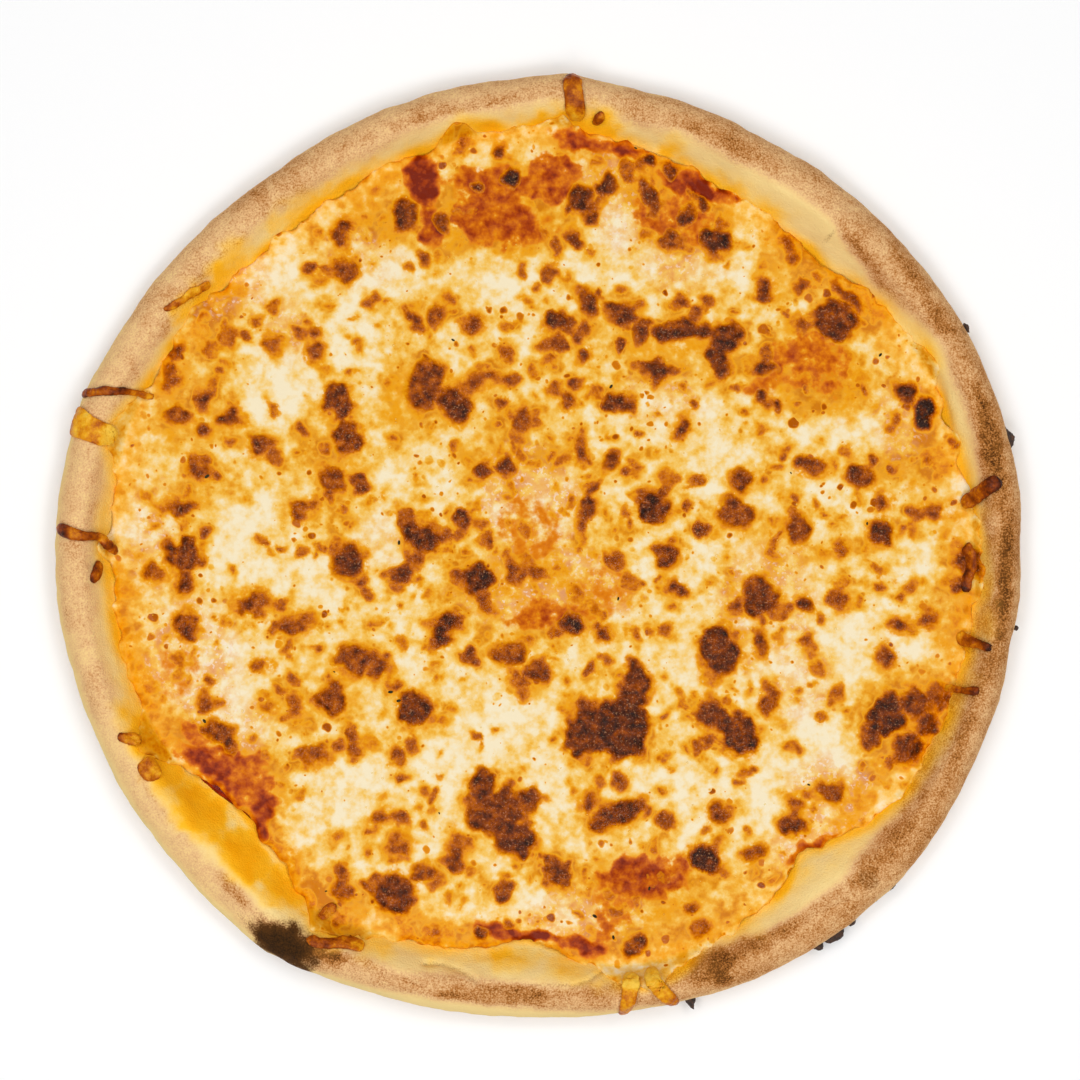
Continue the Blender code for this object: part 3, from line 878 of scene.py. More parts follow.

# %% Marks placed one by one
# Browned blisters: x, y, half length, half width, turn, depth (1 is dark brown, more is burnt)
BLISTERS = (
    (15.5, -60, 7.4, 9.0, 0, 1.06), (26, -59, 8.6, 10.2, 0, 1.12), (29.5, -45, 5.4, 8.8, -6, 1.04),
    (-15, -86, 9.4, 7.4, 0, 0.94), (-9, -94, 6.8, 5.4, -20, 1.04), (-19, -79, 4.6, 6.4, 10, 1.0),
    (-4, -83, 5.8, 3.6, 18, 0.96), (55, -54, 3.7, 5.6, 0, 1.0), (64.5, -62, 6.8, 5.8, -20, 1.06),
    (59, -57, 5, 3.5, -30, 1.0), (53, -102, 5.8, 5.2, 0, 1.18), (58, -34.5, 6.8, 8.6, 0, 1.06),
    (-41, -52, 6.3, 5.6, -25, 1.04), (-48, -112, 7.2, 6.0, 15, 1.0), (-116, -3, 6.0, 6.2, 0, 0.98),
    (71, -16, 6.0, 6.6, 0, 1.0), (32, 70.5, 3.4, 3.0, 0, 0.95), (48, 69.5, 9.5, 3.2, -6, 1.06),
    (59.5, 66.5, 5.2, 4.6, 0, 1.08), (57.5, 60.5, 3.4, 5.4, 8, 1.06), (40, 70, 4, 2.8, 0, 0.95),
    (26, 75.5, 5.6, 3.0, -14, 0.98), (96.5, 72.5, 7.8, 6.2, -15, 0.98),
    (100, 80.5, 7.2, 2.3, -38, 0.86), (-37, 53, 5.6, 8.6, -20, 0.9), (-27, 45, 4.8, 5.0, 0, 1.06),
    (-44, 107, 4.0, 5.6, -15, 0.98), (-63, 88, 4.4, 4.4, 0, 0.78), (-65, 101, 3.2, 5.6, 0, 0.9),
    (-10, 119, 3.3, 3.2, 0, 1.2), (-21, 117, 2.6, 1.6, -20, 1.05), (13, 112, 3.6, 4.6, -25, 1.12),
    (20.5, 116, 3.3, 3.0, 30, 1.0), (17, 108, 2.4, 3.7, -20, 0.95), (10, 100, 2.2, 2.5, 0, 1.0),
    (35, 125.5, 2.8, 2.6, 0, 1.05), (43, 122, 3.0, 2.9, 0, 1.02), (35, 113, 2.3, 7.2, 32, 1.04),
    (47, 107, 2.5, 3.9, 12, 1.08), (52, 110.5, 3.0, 1.8, -30, 1.05),
    (41.5, 100, 4.1, 3.2, -15, 0.98), (57, 99, 4.4, 4.6, 0, 1.1), (-13, 128, 3.0, 2.6, -30, 0.95),
    (112, -54, 5.6, 7.0, -10, 1.12), (121, -51, 6.0, 5.0, 25, 0.95), (129, -49, 4.0, 4.5, 0, 0.84),
    (119, -66, 5.6, 5.2, 0, 0.98), (107, -61, 3.2, 4.2, 0, 0.9), (125, -58, 5.0, 4.0, 40, 0.94),
    (124, 43, 3.1, 5.0, 0, 1.35), (119, 49, 3.2, 4.4, 10, 1.02), (-20, -11, 4.9, 4.9, 0, 1.12),
    (-31, -27, 3.9, 5.6, -25, 1.12), (-39, 3, 5.2, 4.9, 0, 1.06), (-92, 72, 2.3, 2.2, 0, 0.8),
    (-87, 65, 2.6, 2.3, -30, 0.85), (-74, 69, 2.6, 2.6, 0, 0.82), (-72, 63, 2.6, 3.0, 0, 0.85),
    (-117, 42, 5.5, 2.8, 0, 0.9), (-109, 48, 1.9, 4.1, 0, 0.82), (-109, 37, 2.9, 2.4, 0, 0.98),
    (-101, 41, 4.1, 2.6, -10, 0.95), (-91, 33, 4.1, 3.4, -20, 1.0), (-111, 25, 2.9, 4.4, 15, 0.86),
    (-117, 13, 6.2, 2.6, 0, 0.84), (-116, -12, 2.9, 4.0, 0, 0.9), (-126, -8, 3.0, 3.2, 0, 0.8),
    (-66, 46, 5.2, 5.4, 0, 0.98), (-62, 35, 3.9, 5.2, 0, 0.98), (-67, 22, 4.3, 4.9, 0, 0.86),
    (-77, 12, 4.1, 3.0, 20, 0.84), (-62, -5, 4.4, 5.4, 0, 1.02), (-80, -25, 5.4, 3.2, 0, 0.84),
    (-94, -18, 6.3, 3.8, 0, 0.8), (-115, -26, 4.5, 4.8, 0, 0.92), (-67, -50, 4.3, 6.2, 0, 0.88),
    (-61, -37, 5.0, 4.6, -20, 0.9), (-53, -40, 4.4, 3.6, 0, 0.86), (-79, -51, 2.8, 2.7, 0, 0.78),
    (-91, -39, 3.1, 3.0, 0, 0.78), (-104, -61, 4.9, 4.0, -15, 0.92), (-108, -51, 2.6, 2.6, 0, 0.8),
    (-19, 25, 3.2, 3.0, 0, 1.0), (-12, 26, 3.0, 3.2, 0, 1.04), (-25, 9, 2.4, 3.2, 0, 1.0),
    (-17, -19, 2.0, 3.2, -20, 0.95), (10, -25, 3.8, 3.8, 0, 1.1), (20, -28, 3.0, 2.7, 20, 0.98),
    (15.5, 11, 2.4, 6.2, -14, 1.0), (37, 13, 5.2, 5.0, 0, 1.1), (41, -3, 3.5, 4.0, 0, 0.95),
    (44, -14, 2.9, 2.7, 0, 0.98), (45, 38, 2.5, 4.0, -10, 0.98), (26, 47, 4.2, 2.9, -15, 1.02),
    (22, 26, 2.9, 2.9, 0, 0.84), (12, 31, 2.3, 5.6, -14, 0.84), (9, 47, 2.8, 2.8, 0, 0.86),
    (-11, -35, 5.0, 3.8, 0, 0.82), (-7, -44, 2.4, 5.2, 28, 0.8), (0, -40, 2.7, 5.0, 0, 0.92),
    (-1, -8, 3.2, 2.3, -10, 0.94), (-8, -8, 3.0, 2.6, 0, 0.84), (73, 84, 2.5, 4.1, 0, 0.98),
    (81, 96, 2.8, 4.8, 15, 0.8), (84, 72, 2.3, 2.6, 0, 0.84), (72, 57, 4.1, 2.8, 0, 1.0),
    (73, 47, 2.3, 2.9, 0, 0.95), (77, 45, 2.0, 2.5, 0, 0.98), (38, 56, 3.2, 4.2, -15, 1.04),
    (88, 26, 5.0, 2.8, 0, 0.98), (104, 22, 4.8, 3.7, -10, 1.0), (65, 21, 4.3, 4.0, 0, 0.96),
    (63, 10, 5.4, 5.0, 0, 0.9), (84, 5, 3.7, 5.0, 10, 0.92), (110, 5, 4.4, 4.0, 0, 1.04),
    (112, 14, 2.6, 2.7, 0, 0.8), (126, 12, 4.2, 2.6, 15, 0.9), (96, -1, 2.6, 3.1, 0, 0.86),
    (85, -19, 2.9, 2.6, 0, 1.0), (98, -19, 2.2, 2.8, 0, 0.9), (117, -26, 3.4, 2.4, 0, 0.92),
    (126, -24, 3.4, 2.4, 10, 0.92), (71, -31, 2.8, 4.6, 0, 0.84), (112, -36, 2.5, 4.0, 10, 0.92),
    (74, -50, 2.8, 4.4, 10, 0.88), (-51, -88, 4.2, 2.9, 25, 0.84), (-45, -96, 2.3, 3.4, 10, 0.84),
    (-27, -98, 2.3, 5.2, 10, 0.82), (-38, -106, 3.4, 3.2, 0, 0.84), (6, -107, 3.2, 3.4, 0, 0.84),
    (25, -87, 9.6, 3.8, 24, 1.0), (15, -83, 2.9, 3.4, 0, 0.84), (-19, -125, 2.7, 2.7, 0, 0.92),
    (58, -87, 3.0, 3.2, 0, 0.86), (82, -91, 3.6, 3.0, 0, 0.98), (83, -84, 2.6, 2.8, 0, 0.86),
    (69, -99, 4.0, 3.0, 25, 0.86), (94, -79, 4.0, 3.4, 0, 0.84), (30, -130, 3.3, 2.9, 0, 0.98),
    (49, -117, 3.4, 2.2, 35, 0.9), (52, -124, 3.8, 2.6, 20, 0.84), (15, 78, 2.9, 5.0, 12, 1.0),
    (4, 72, 3.6, 3.6, 0, 1.12), (14, 62, 2.3, 3.2, -10, 0.98), (-33, 75, 2.5, 3.2, -25, 0.9),
    (-41, 72, 3.2, 2.4, -25, 0.95), (-22, 72, 4.0, 2.6, 0, 0.86), (-64, -112, 2.7, 4.0, 30, 0.8),
    (-32, 104, 2.3, 4.4, 8, 0.92), (-19, 53, 7.0, 2.4, 12, 0.84), (-88, -52, 3, 2.4, 0, 0.74),
    (-73, -68, 4.6, 3.0, 0, 0.72), (-60, -65, 2.4, 3.2, 0, 0.78), (-46, -67, 2.4, 3.4, 0, 0.84),
    (139, -5, 4.0, 5.2, 20, 1.0), (134, -12, 3.0, 2.6, 0, 0.86), (-121, 55, 3.0, 5.2, 0, 0.84),
    (-118, 63, 3.2, 3.0, 0, 0.82), (6, 52, 2.2, 2.6, 0, 0.74), (-6, 40, 2.6, 4.4, -20, 0.82),
    (-25.4, 130.5, 3.8, 1.2, 63, 0.9),
)

# Where the sauce shows through or past the cheese: x, y, half sizes, turn, strength
SAUCY = (
    (-38, 119, 4.4, 9.2, 6, 1.05), (-35, 104, 3.6, 7.0, 8, 0.78), (-14, 106, 15, 9.5, -4, 0.56),
    (-16, 117, 14, 5.0, 0, 0.60), (5, 119, 9, 8, -30, 0.62), (12.5, 131.5, 9, 3.0, -12, 0.82),
    (28, 128.6, 7, 2.6, -14, 0.9), (53.5, 116, 10, 4.0, -26, 1.05), (44, 118, 5, 2.8, -30, 0.85),
    (44, 106, 14, 7, -25, 0.5), (88, 60, 14, 10, -20, 0.46), (83, 62, 5, 3.4, -20, 0.62),
    (72, 52, 6, 6, 0, 0.36), (-108, -71, 9.6, 3.0, -24, 0.95), (-91, -88, 3.4, 8.0, -14, 0.90),
    (-98, -76, 13, 11, -40, 0.58), (-112, -62, 6, 4, -30, 0.42), (-4, -126.6, 14, 2.0, -9, 1.15),
    (13, -130, 6, 2.0, 0, 1.0), (-15, -123.6, 5, 1.7, -15, 1.0), (33, -108, 14, 7, -8, 0.72),
    (24, -117, 6, 8, 20, 0.36), (42, -105, 7, 5, 0, 0.62), (88, -97.5, 6.4, 1.1, 28, 1.0),
    (3, -23, 15, 4.6, 4, 0.52), (0, -18, 5, 3.4, 0, 0.4), (-4, 6, 10, 10, 0, 0.26),
    (20, -13, 10, 8, 0, 0.24), (-117, -40, 7, 10, 0, 0.22), (-10, 100, 16, 2.6, 4, 0.5),
    (20, -123, 2.6, 8, -12, 0.5), (-20, -132, 4, 1, 0, 0.3), (122, -54, 10, 9, 0, 0.18),
)

# Pale stretches of cheese that hardly browned: x, y, half sizes, turn, strength
PALE = (
    (-85, 52, 14, 13, 0, 1.0), (-80, 88, 11, 8, 0, 0.8), (-60, 73, 8, 11, 0, 0.8),
    (-46, 88, 13, 5.5, 0, 0.9), (-8, 87, 15, 6, 0, 0.7), (22, 98, 4.5, 13, 18, 0.9),
    (22, 122, 8, 3, -35, 0.6), (-96, 8, 10, 12, 0, 0.8), (-88, -8, 9, 7, 0, 0.7),
    (-100, -42, 9, 8, 0, 0.6), (-78, -40, 8, 6, 0, 0.7), (-122, -48, 6, 6, 0, 0.6),
    (-62, -80, 16, 11, 0, 1.0), (-78, -96, 7, 9, 0, 0.9), (-34, -76, 11, 11, 0, 0.8),
    (-6, -60, 13, 10, 0, 0.9), (4, -78, 8, 8, 0, 0.8), (4, -94, 7, 8, 0, 0.8),
    (40, -78, 12, 9, 0, 0.9), (53, 26, 7, 15, 8, 1.0), (38, 26, 5, 8, 0, 0.5),
    (30, -8, 9, 7, 0, 0.6), (44, -38, 8, 12, 0, 0.7), (30, -28, 5, 8, 0, 0.4),
    (100, 34, 15, 6, 0, 0.8), (122, -4, 8, 10, 0, 0.8), (97, -30, 9, 14, 0, 0.9),
    (92, -62, 9, 13, 20, 0.9), (72, -78, 11, 7, 0, 0.8), (134, 5, 4, 9, 0, 1.0),
    (120, -32, 12, 5, 0, 0.8), (133, -25, 5, 7, 0, 0.9), (-50, 24, 7, 8, 0, 0.6),
    (-46, -10, 8, 8, 0, 0.6), (-22, -62, 8, 6, 0, 0.7), (-26, 34, 7, 4, 0, 0.5),
    (-6, 60, 6, 5, 0, 0.5), (32, 60, 7, 4, 0, 0.5), (72, -2, 6, 6, 0, 0.5), (48, -92, 7, 5, 0, 0.6),
    (-30, -118, 9, 4, 0, 0.5), (-3, -113, 9, 4, 0, 0.6), (110, -20, 7, 5, 0, 0.6),
    (60, 84, 8, 5, 0, 0.4), (50, 90, 8, 4, 0, 0.5),
)

# Where the sauce tints the cheese pink: x, y, half sizes, turn, strength
PINK = (
    (-112, -36, 15, 18, 10, 1.0), (-100, -58, 12, 9, 0, 0.9), (-126, 2, 7, 16, 0, 0.7),
    (-100, 86, 13, 9, 20, 0.9), (-84, 70, 8, 9, 0, 0.6), (-4, 14, 16, 18, 0, 0.9),
    (4, -14, 26, 12, 0, 1.0), (74, -20, 15, 20, 0, 0.8), (84, -44, 9, 12, 0, 0.7),
    (94, -80, 13, 12, 0, 1.0), (84, -96, 11, 6, 20, 0.9), (14, -120, 16, 8, 0, 0.9),
    (24, 112, 8, 16, 15, 0.9), (46, 92, 14, 8, 0, 0.7), (-58, 92, 12, 9, 0, 0.5),
    (116, 40, 8, 12, 0, 0.6), (40, 48, 12, 8, 0, 0.5), (-48, 2, 12, 10, 0, 0.4),
)

# Fatty, orange stretches: x, y, half sizes, turn, strength
FATTY = (
    (-14, 108, 24, 15, 0, 1.0), (-52, 106, 12, 11, 0, 0.8), (44, 112, 20, 12, -30, 1.0),
    (84, 92, 16, 9, -45, 0.9), (90, 57, 20, 15, -25, 1.0), (104, 76, 11, 14, -30, 0.8),
    (120, 28, 9, 13, -15, 0.85), (-116, 46, 10, 20, -20, 0.65), (-108, 20, 9, 10, 0, 0.6),
    (-132, -30, 8, 22, 12, 0.7), (-100, -76, 20, 12, -42, 1.0), (-76, -112, 16, 7, -28, 0.8),
    (32, -112, 20, 14, 0, 0.8), (64, -112, 18, 9, 28, 0.5), (96, -92, 9, 12, -30, 0.5),
    (0, -14, 26, 16, 0, 0.7), (-40, 48, 14, 14, 0, 0.7), (118, -56, 17, 15, 0, 0.9),
    (45, 62, 24, 9, -5, 0.8), (-12, -128, 30, 6, 0, 0.6), (134, -12, 8, 16, 0, 0.5),
    (80, 0, 22, 12, 0, 0.4), (-66, 30, 12, 26, 0, 0.5), (-10, 30, 20, 14, 0, 0.5),
    (-70, -48, 18, 12, 0, 0.4), (22, -88, 14, 7, 20, 0.6), (0, -106, 18, 8, 0, 0.3),
)
# Fat that ran to the edge and fried there: angle, radius, half depth, half width, strength
EDGE_FAT = (
    (2, 133, 5, 13, 1.0), (13, 131, 5, 13, 1.1), (26, 130, 4, 8, 0.5), (38, 131, 5, 14, 0.6),
    (50, 130, 4, 8, 0.5), (84, 131, 5, 12, 0.9), (112, 130, 5, 14, 0.7), (144, 130, 6, 13, 1.2),
    (168, 136.5, 3, 12, 0.7), (186, 136, 4, 14, 0.7), (204, 134, 7, 13, 1.0),
    (207.5, 141, 5, 8, 1.2), (103, 137, 4, 7, 1.0), (228, 131, 6, 13, 1.4), (240, 134, 7, 12, 1.0),
    (241, 141, 5, 7, 1.0), (252, 131, 6, 14, 1.4), (264, 131, 5, 14, 1.2), (277, 131, 5, 14, 1.2),
    (290, 136, 5, 14, 1.0), (324, 131, 5, 13, 1.0), (336, 134, 6, 11, 1.1), (348, 136, 5, 13, 1.0),
)
print(len(BLISTERS), "blisters are placed by hand")


# %% Random freckles
def freckles(seed, count, reach, pale_places):
    """Small amber marks, in loose clusters, fewer where the cheese stayed pale."""
    chance = np.random.default_rng(seed)
    spots = chance.uniform(-reach, reach, (count, 2))
    spots = np.concatenate([spots, np.zeros((count, 1))], axis=1)
    pale_there = mark_field(spots * MM, pale_places, fade=6)
    crowd = 0.60 + 0.40 * lumps(spots * MM, 13 * MM, seed)
    outer = smooth((np.hypot(spots[:, 0], spots[:, 1]) - 118) / 14)
    kept = spots[chance.random(count) < crowd * (1 - 0.80 * pale_there) * (1 - 0.9 * outer)]
    size = chance.gamma(4.0, 0.38, len(kept)).clip(0.8, 3.4)
    squeeze = chance.uniform(0.6, 1.0, len(kept))
    turn = chance.uniform(0, 180, len(kept))
    depth = chance.uniform(0.30, 0.62, len(kept)) + 0.09 * size
    return np.stack([kept[:, 0], kept[:, 1], size, size * squeeze, turn, depth], axis=1)


FRECKLES = freckles(seed=5, count=2500, reach=136, pale_places=PALE)
print(len(FRECKLES), "freckles are placed at random")

# %% What the cheese is like, point by point
lobed = swayed(sheet, 2.0 * MM, 5.6 * MM, 49)
heat = mark_field(lobed, BLISTERS, fade=2.8, fray=0.12, seed=51)
halos = [(x, y, a + 1.3, b + 1.3, t, 1.0) for x, y, a, b, t, _ in BLISTERS]
halo = mark_field(lobed, halos, fade=2.8, fray=0.20, seed=53)
near_heat = mark_field(lobed, halos, fade=7.0, fray=0.15, seed=55)
freckled = mark_field(lobed, FRECKLES, fade=2.0, fray=0.2, seed=57)
around = [(x, y, a + 1.2, b + 1.2, t, 1.0) for x, y, a, b, t, _ in FRECKLES]
near_freckles = mark_field(lobed, around, fade=3.2, fray=0.15, seed=59)
sauce_shows = mark_field(lobed, SAUCY, fade=4.0, fray=0.3, seed=61)
pale = mark_field(sheet, PALE, fade=9.0, fray=0.2, seed=63)
fatty = mark_field(sheet, FATTY, fade=12.0, fray=0.2, seed=65)
near_edge = smooth(1 - inwards / (7 * MM))
edge_fat = mark_field(sheet, round_marks(EDGE_FAT), fade=7.0, fray=0.3, seed=66)

oily = 0.31 + 0.12 * layered(sheet, 15 * MM, 67) + 0.22 * layered(sheet, 5.0 * MM, 70)
oily += 0.40 * near_freckles + 0.32 * near_heat + 0.44 * fatty - 0.18 * pale
oily += 0.12 * near_edge + 0.40 * edge_fat
heat = np.maximum(heat, 0.36 * halo * (1 - 0.8 * np.clip(sauce_shows, 0, 1)))
heat = 1 - (1 - heat) * (1 - freckled * (1 - 0.75 * sauce_shows))
fried_fat = (fatty + edge_fat) * (1 - sauce_shows) * smooth(0.5 + layered(sheet, 5 * MM, 73))
heat = np.maximum(heat, 0.26 * fried_fat)
pink = mark_field(sheet, PINK, fade=8.0, fray=0.3, seed=76)
pink *= 0.75 + 0.25 * lumps(sheet, 5 * MM, 78)
freckly = 0.80 + 0.45 * layered(sheet, 12 * MM, 80, 2)
freckly *= (1 - 0.60 * pale) * (1 - 0.7 * sauce_shows)
print("heat runs from", round(heat.min(), 2), "to", round(heat.max(), 2))

# %% Relief of the cheese
SPRING = 0.25  # how high a blister stands for each millimetre of its half width
domes = [
    (x, y, a * 0.95, b * 0.95, t, min(1.0, SPRING * min(a, b))) for x, y, a, b, t, _ in BLISTERS
]
specks = [(x, y, a, b, t, 0.16 + 0.10 * a) for x, y, a, b, t, _ in FRECKLES]
sheet_rise = mark_field(lobed, domes, fade=3.4, fray=0.15, seed=81)
sheet_rise += 0.5 * mark_field(lobed, specks, fade=1.8, fray=0.1, seed=83)
sheet_rise += 0.30 * layered(sheet, 19 * MM, 85) + 0.22 * layered(sheet, 6 * MM, 88)
sheet_rise -= 0.45 * sauce_shows
sheet_rise *= smooth(inwards / (5 * MM))
sheet_free = smooth(inwards / (2 * MM))
print("the cheese rises by", round(sheet_rise.min(), 2), "to", round(sheet_rise.max(), 2), "mm")


# %% Close the sheet
def disc_faces(ring_count):
    """Triangles between rings of 6k points, from the middle out, facing up."""
    faces = []
    start = [0] + [1 + 3 * k * (k - 1) for k in range(1, ring_count + 2)]
    for k in range(ring_count):
        inner, outer = start[k], start[k + 1]
        for sector in range(6):
            for i in range(k + 1):
                a = inner + (sector * k + i) % max(6 * k, 1)
                b = outer + sector * (k + 1) + i
                c = outer + (sector * (k + 1) + i + 1) % (6 * (k + 1))
                faces.append((a, b, c))
                if i < k:
                    faces.append((a, c, inner + (sector * k + i + 1) % (6 * k)))
    return faces


UNDER_RINGS = (0.985, 0.965, 0.94, 0.90, 0.86)  # shares of the edge's radius
edge_count = 6 * RINGS
edge_start = len(sheet) - edge_count
below = [sheet[edge_start:].copy()]
below[0][:, 2] = bed[edge_start:] - 0.15 * MM
for share in UNDER_RINGS:
    ring = below[0] * (share, share, 1)
    ring[:, 2] = np.maximum(LEVEL, height_under(dough_surface, ring, LEVEL) + 0.05 * MM)
    below.append(ring)
cheese_points = np.concatenate([sheet, *below, [(0, 0, LEVEL)]])
cheese_faces = disc_faces(RINGS)
outer = edge_start
for number in range(len(below)):
    inner = len(sheet) + number * edge_count
    cheese_faces += ring_faces(inner, outer, edge_count)
    outer = inner
cheese_faces += fan_faces(outer, len(cheese_points) - 1, edge_count, False)

hidden = np.zeros(len(below) * edge_count + 1)
cheese_fields = {
    "rise": np.append(sheet_rise, hidden),
    "free": np.append(sheet_free, hidden),
    "browned": np.append(heat, hidden),
    "oily": np.append(oily, hidden + 0.6),
    "sauce_shows": np.append(sauce_shows, hidden),
    "pink": np.append(pink, hidden),
    "freckly": np.append(freckly, hidden),
}


# %% Cheese finish
HEAT_COLOURS = [  # from barely browned to burnt
    (0.00, tone(245, 184, 62)),
    (0.16, tone(238, 160, 14)),
    (0.30, tone(224, 134, 0)),
    (0.44, tone(200, 106, 0)),
    (0.58, tone(168, 80, 0)),
    (0.72, tone(128, 54, 2)),
    (0.86, tone(84, 34, 6)),
    (1.00, tone(46, 22, 12)),
]


def cheese_finish():
    """Glossy melted cheese, by how much fat, heat and sauce each place had, with painted highlights
    on the blisters.
    """
    material, tree, shader = new_finish("melted_cheese")
    fine = grain(tree, 0.9 * MM, detail=1, roughness=0.5)
    fibres = grain(tree, 3.0 * MM, detail=3, roughness=0.5, shift=0.5)
    flecks = grain(tree, 1.4 * MM, detail=1, roughness=0.6, shift=0.7)
    fine_off = math_of(tree, "SUBTRACT", fine, 0.5)
    fibre_off = math_of(tree, "SUBTRACT", fibres, 0.5)
    crowd = attribute(tree, "freckly")
    place = swaying_place(tree, 1.8 * MM, 3.2 * MM)
    small, small_chance = spots(tree, place, 2.8 * MM, 0.60, 0.20, crowd)
    large, large_chance = spots(tree, place, 5.2 * MM, 0.60, 0.16, crowd)
    pools, _ = spots(tree, place, 4.4 * MM, 0.55, 0.14, crowd)

    oily = math_of(tree, "MULTIPLY_ADD", fibre_off, 1.3, attribute(tree, "oily"))
    oily = math_of(tree, "MULTIPLY_ADD", fine_off, 0.16, oily)
    oily = math_of(tree, "MULTIPLY_ADD", pools, 0.30, oily)
    base = ramp(
        tree,
        oily,
        [
            (0.00, tone(246, 230, 194)),
            (0.16, tone(246, 222, 172)),
            (0.32, tone(246, 209, 134)),
            (0.46, tone(245, 196, 94)),
            (0.62, tone(240, 176, 54)),
            (0.80, tone(229, 148, 16)),
            (1.00, tone(208, 122, 2)),
        ],
    )
    blush = math_of(tree, "MULTIPLY", attribute(tree, "pink"), step_up(tree, fibres, 0.40, 0.60))
    base = blend(tree, math_of(tree, "MULTIPLY", blush, 0.55), base, tone(234, 176, 140))
    white = math_of(tree, "MULTIPLY", attribute(tree, "pink"), step_up(tree, flecks, 0.56, 0.66))
    base = blend(tree, math_of(tree, "MULTIPLY", white, 0.6), base, tone(248, 234, 222))

    sauce = attribute(tree, "sauce_shows")
    mottle = math_of(tree, "MULTIPLY", fibre_off, step_up(tree, sauce, 0.0, 0.5))
    sauce = math_of(tree, "MULTIPLY_ADD", mottle, 1.6, sauce)
    red = ramp(
        tree,
        sauce,
        [
            (0.12, tone(238, 156, 12)),
            (0.34, tone(224, 126, 4)),
            (0.54, tone(200, 96, 0)),
            (0.76, tone(168, 62, 0)),
            (1.00, tone(124, 32, 0)),
        ],
    )
    base = blend(tree, step_up(tree, sauce, 0.06, 0.34), base, red)

    heat = attribute(tree, "browned")
    uneven = math_of(tree, "MULTIPLY", fibre_off, 1.2)
    uneven = math_of(tree, "MULTIPLY_ADD", fine_off, 0.30, uneven)
    uneven = math_of(tree, "MULTIPLY", uneven, step_up(tree, heat, 0.0, 0.4))
    heat = math_of(tree, "ADD", heat, uneven)
    for spot, chance, depth in ((small, small_chance, 0.50), (large, large_chance, 0.62)):
        depth = math_of(tree, "MULTIPLY_ADD", chance, depth, 0.24)
        heat = math_of(tree, "MAXIMUM", math_of(tree, "MULTIPLY", spot, depth), heat)
    scale = math_of(tree, "MULTIPLY", heat, 0.76)
    over_sauce = math_of(tree, "MULTIPLY_ADD", step_up(tree, sauce, 0.1, 0.6), -0.30, heat)
    shown = step_up(tree, over_sauce, 0.02, 0.24)
    colour = blend(tree, shown, base, ramp(tree, scale, HEAT_COLOURS))
    crisp = step_up(tree, heat, 0.3, 0.8)
    # Painted highlights: small pale specks painted into the colour of the browned blisters, in
    # place of glints.
    painted_glints = grain(tree, 0.7 * MM, detail=1, roughness=0.6, shift=0.9)
    painted_glint = math_of(tree, "MULTIPLY", crisp, step_up(tree, painted_glints, 0.58, 0.74))
    colour = blend(tree, math_of(tree, "MULTIPLY", painted_glint, 0.32), colour, tone(226, 160, 108))
    tree.links.new(colour, shader.inputs["Base Color"])

    tree.links.new(stretched(tree, crisp, 0.32, 0.14), shader.inputs["Roughness"])
    blistered = math_of(tree, "ADD", step_up(tree, attribute(tree, "browned"), 0.3, 0.8), 0.3)
    pits = grain(tree, 0.9 * MM, detail=1, roughness=0.5)
    bump(tree, shader, math_of(tree, "MULTIPLY_ADD", pits, blistered, 0.35), 0.3 * MM)
    shader.inputs["Specular IOR Level"].default_value = 0.08
    return material


cheese_mesh = mesh_from("cheese", cheese_points, cheese_faces, cheese_fields)
cheese = grow(
    "cheese_sheet",
    cheese_mesh,
    RELIEF,
    rise_height=MM,
    grain_height=0.18 * MM,
    grain_size=2.2 * MM,
    seed=2.0,
    finish=cheese_finish(),
)
print("the cheese has", triangles_of(cheese), "triangles")

# %% [markdown]
# ## The sauce
#
# Tomato sauce is a thin wet layer under the cheese, and only its edge peeps out where the
# cheese drew back from the rim. It is a shallow lens with a lumpy, rounded edge: dark red,
# and glossier than the cheese over it.

# %% Sauce mesh
SAUCE_STEPS = 6
SAUCE_TOP = 5.6 * MM
SAUCE_DEPTH = 1.2 * MM
SAUCE_MIDDLE = 0.94  # the share of the edge's radius inside which the sauce lies level
sauce_turns = np.linspace(0, 2 * np.pi, 8 * SPOKES, endpoint=False)
sauce_edge = along_edge(SAUCE_EDGE, sauce_turns)
sauce_line = np.stack([sauce_edge * np.cos(sauce_turns), sauce_edge * np.sin(sauce_turns)], axis=1)
wobble = layered(np.column_stack([sauce_line, 0 * sauce_edge]), 6 * MM, 101, 2)
sauce_line *= (1 + 0.8 * MM * wobble / sauce_edge)[:, None]
sauce_bed = height_under(dough_surface, sauce_line, SAUCE_TOP) + 0.05 * MM

level_line = sauce_line * SAUCE_MIDDLE
under_side = np.full(len(sauce_line), SAUCE_TOP - SAUCE_DEPTH)
sauce_rings = [np.column_stack([level_line, under_side])]
sauce_rings.append(np.column_stack([sauce_line, sauce_bed]))
for step in range(1, SAUCE_STEPS + 1):
    up = step / SAUCE_STEPS
    crest = np.maximum(SAUCE_TOP, sauce_bed + 0.5 * MM)
    ring_height = sauce_bed + (crest - sauce_bed) * math.sqrt(up)
    sauce_rings.append(np.column_stack([sauce_line * (1 - 0.024 * up), ring_height]))
sauce_rings.append(np.column_stack([level_line, np.full(len(sauce_line), SAUCE_TOP)]))
sauce_middles = [(0, 0, SAUCE_TOP), (0, 0, SAUCE_TOP - SAUCE_DEPTH)]
sauce_points = np.concatenate([*sauce_rings, sauce_middles])
count = len(sauce_line)
sauce_faces = []
for ring in range(len(sauce_rings) - 1):
    sauce_faces += ring_faces(ring * count, (ring + 1) * count, count)
sauce_faces += fan_faces((len(sauce_rings) - 1) * count, len(sauce_points) - 2, count, True)
sauce_faces += fan_faces(0, len(sauce_points) - 1, count, False)
on_upper_side = np.arange(len(sauce_points)) > 2 * count
sauce_fields = {
    "rise": 0.25 * layered(sauce_points, 4 * MM, 105) * on_upper_side,
    "free": on_upper_side.astype(float),
}


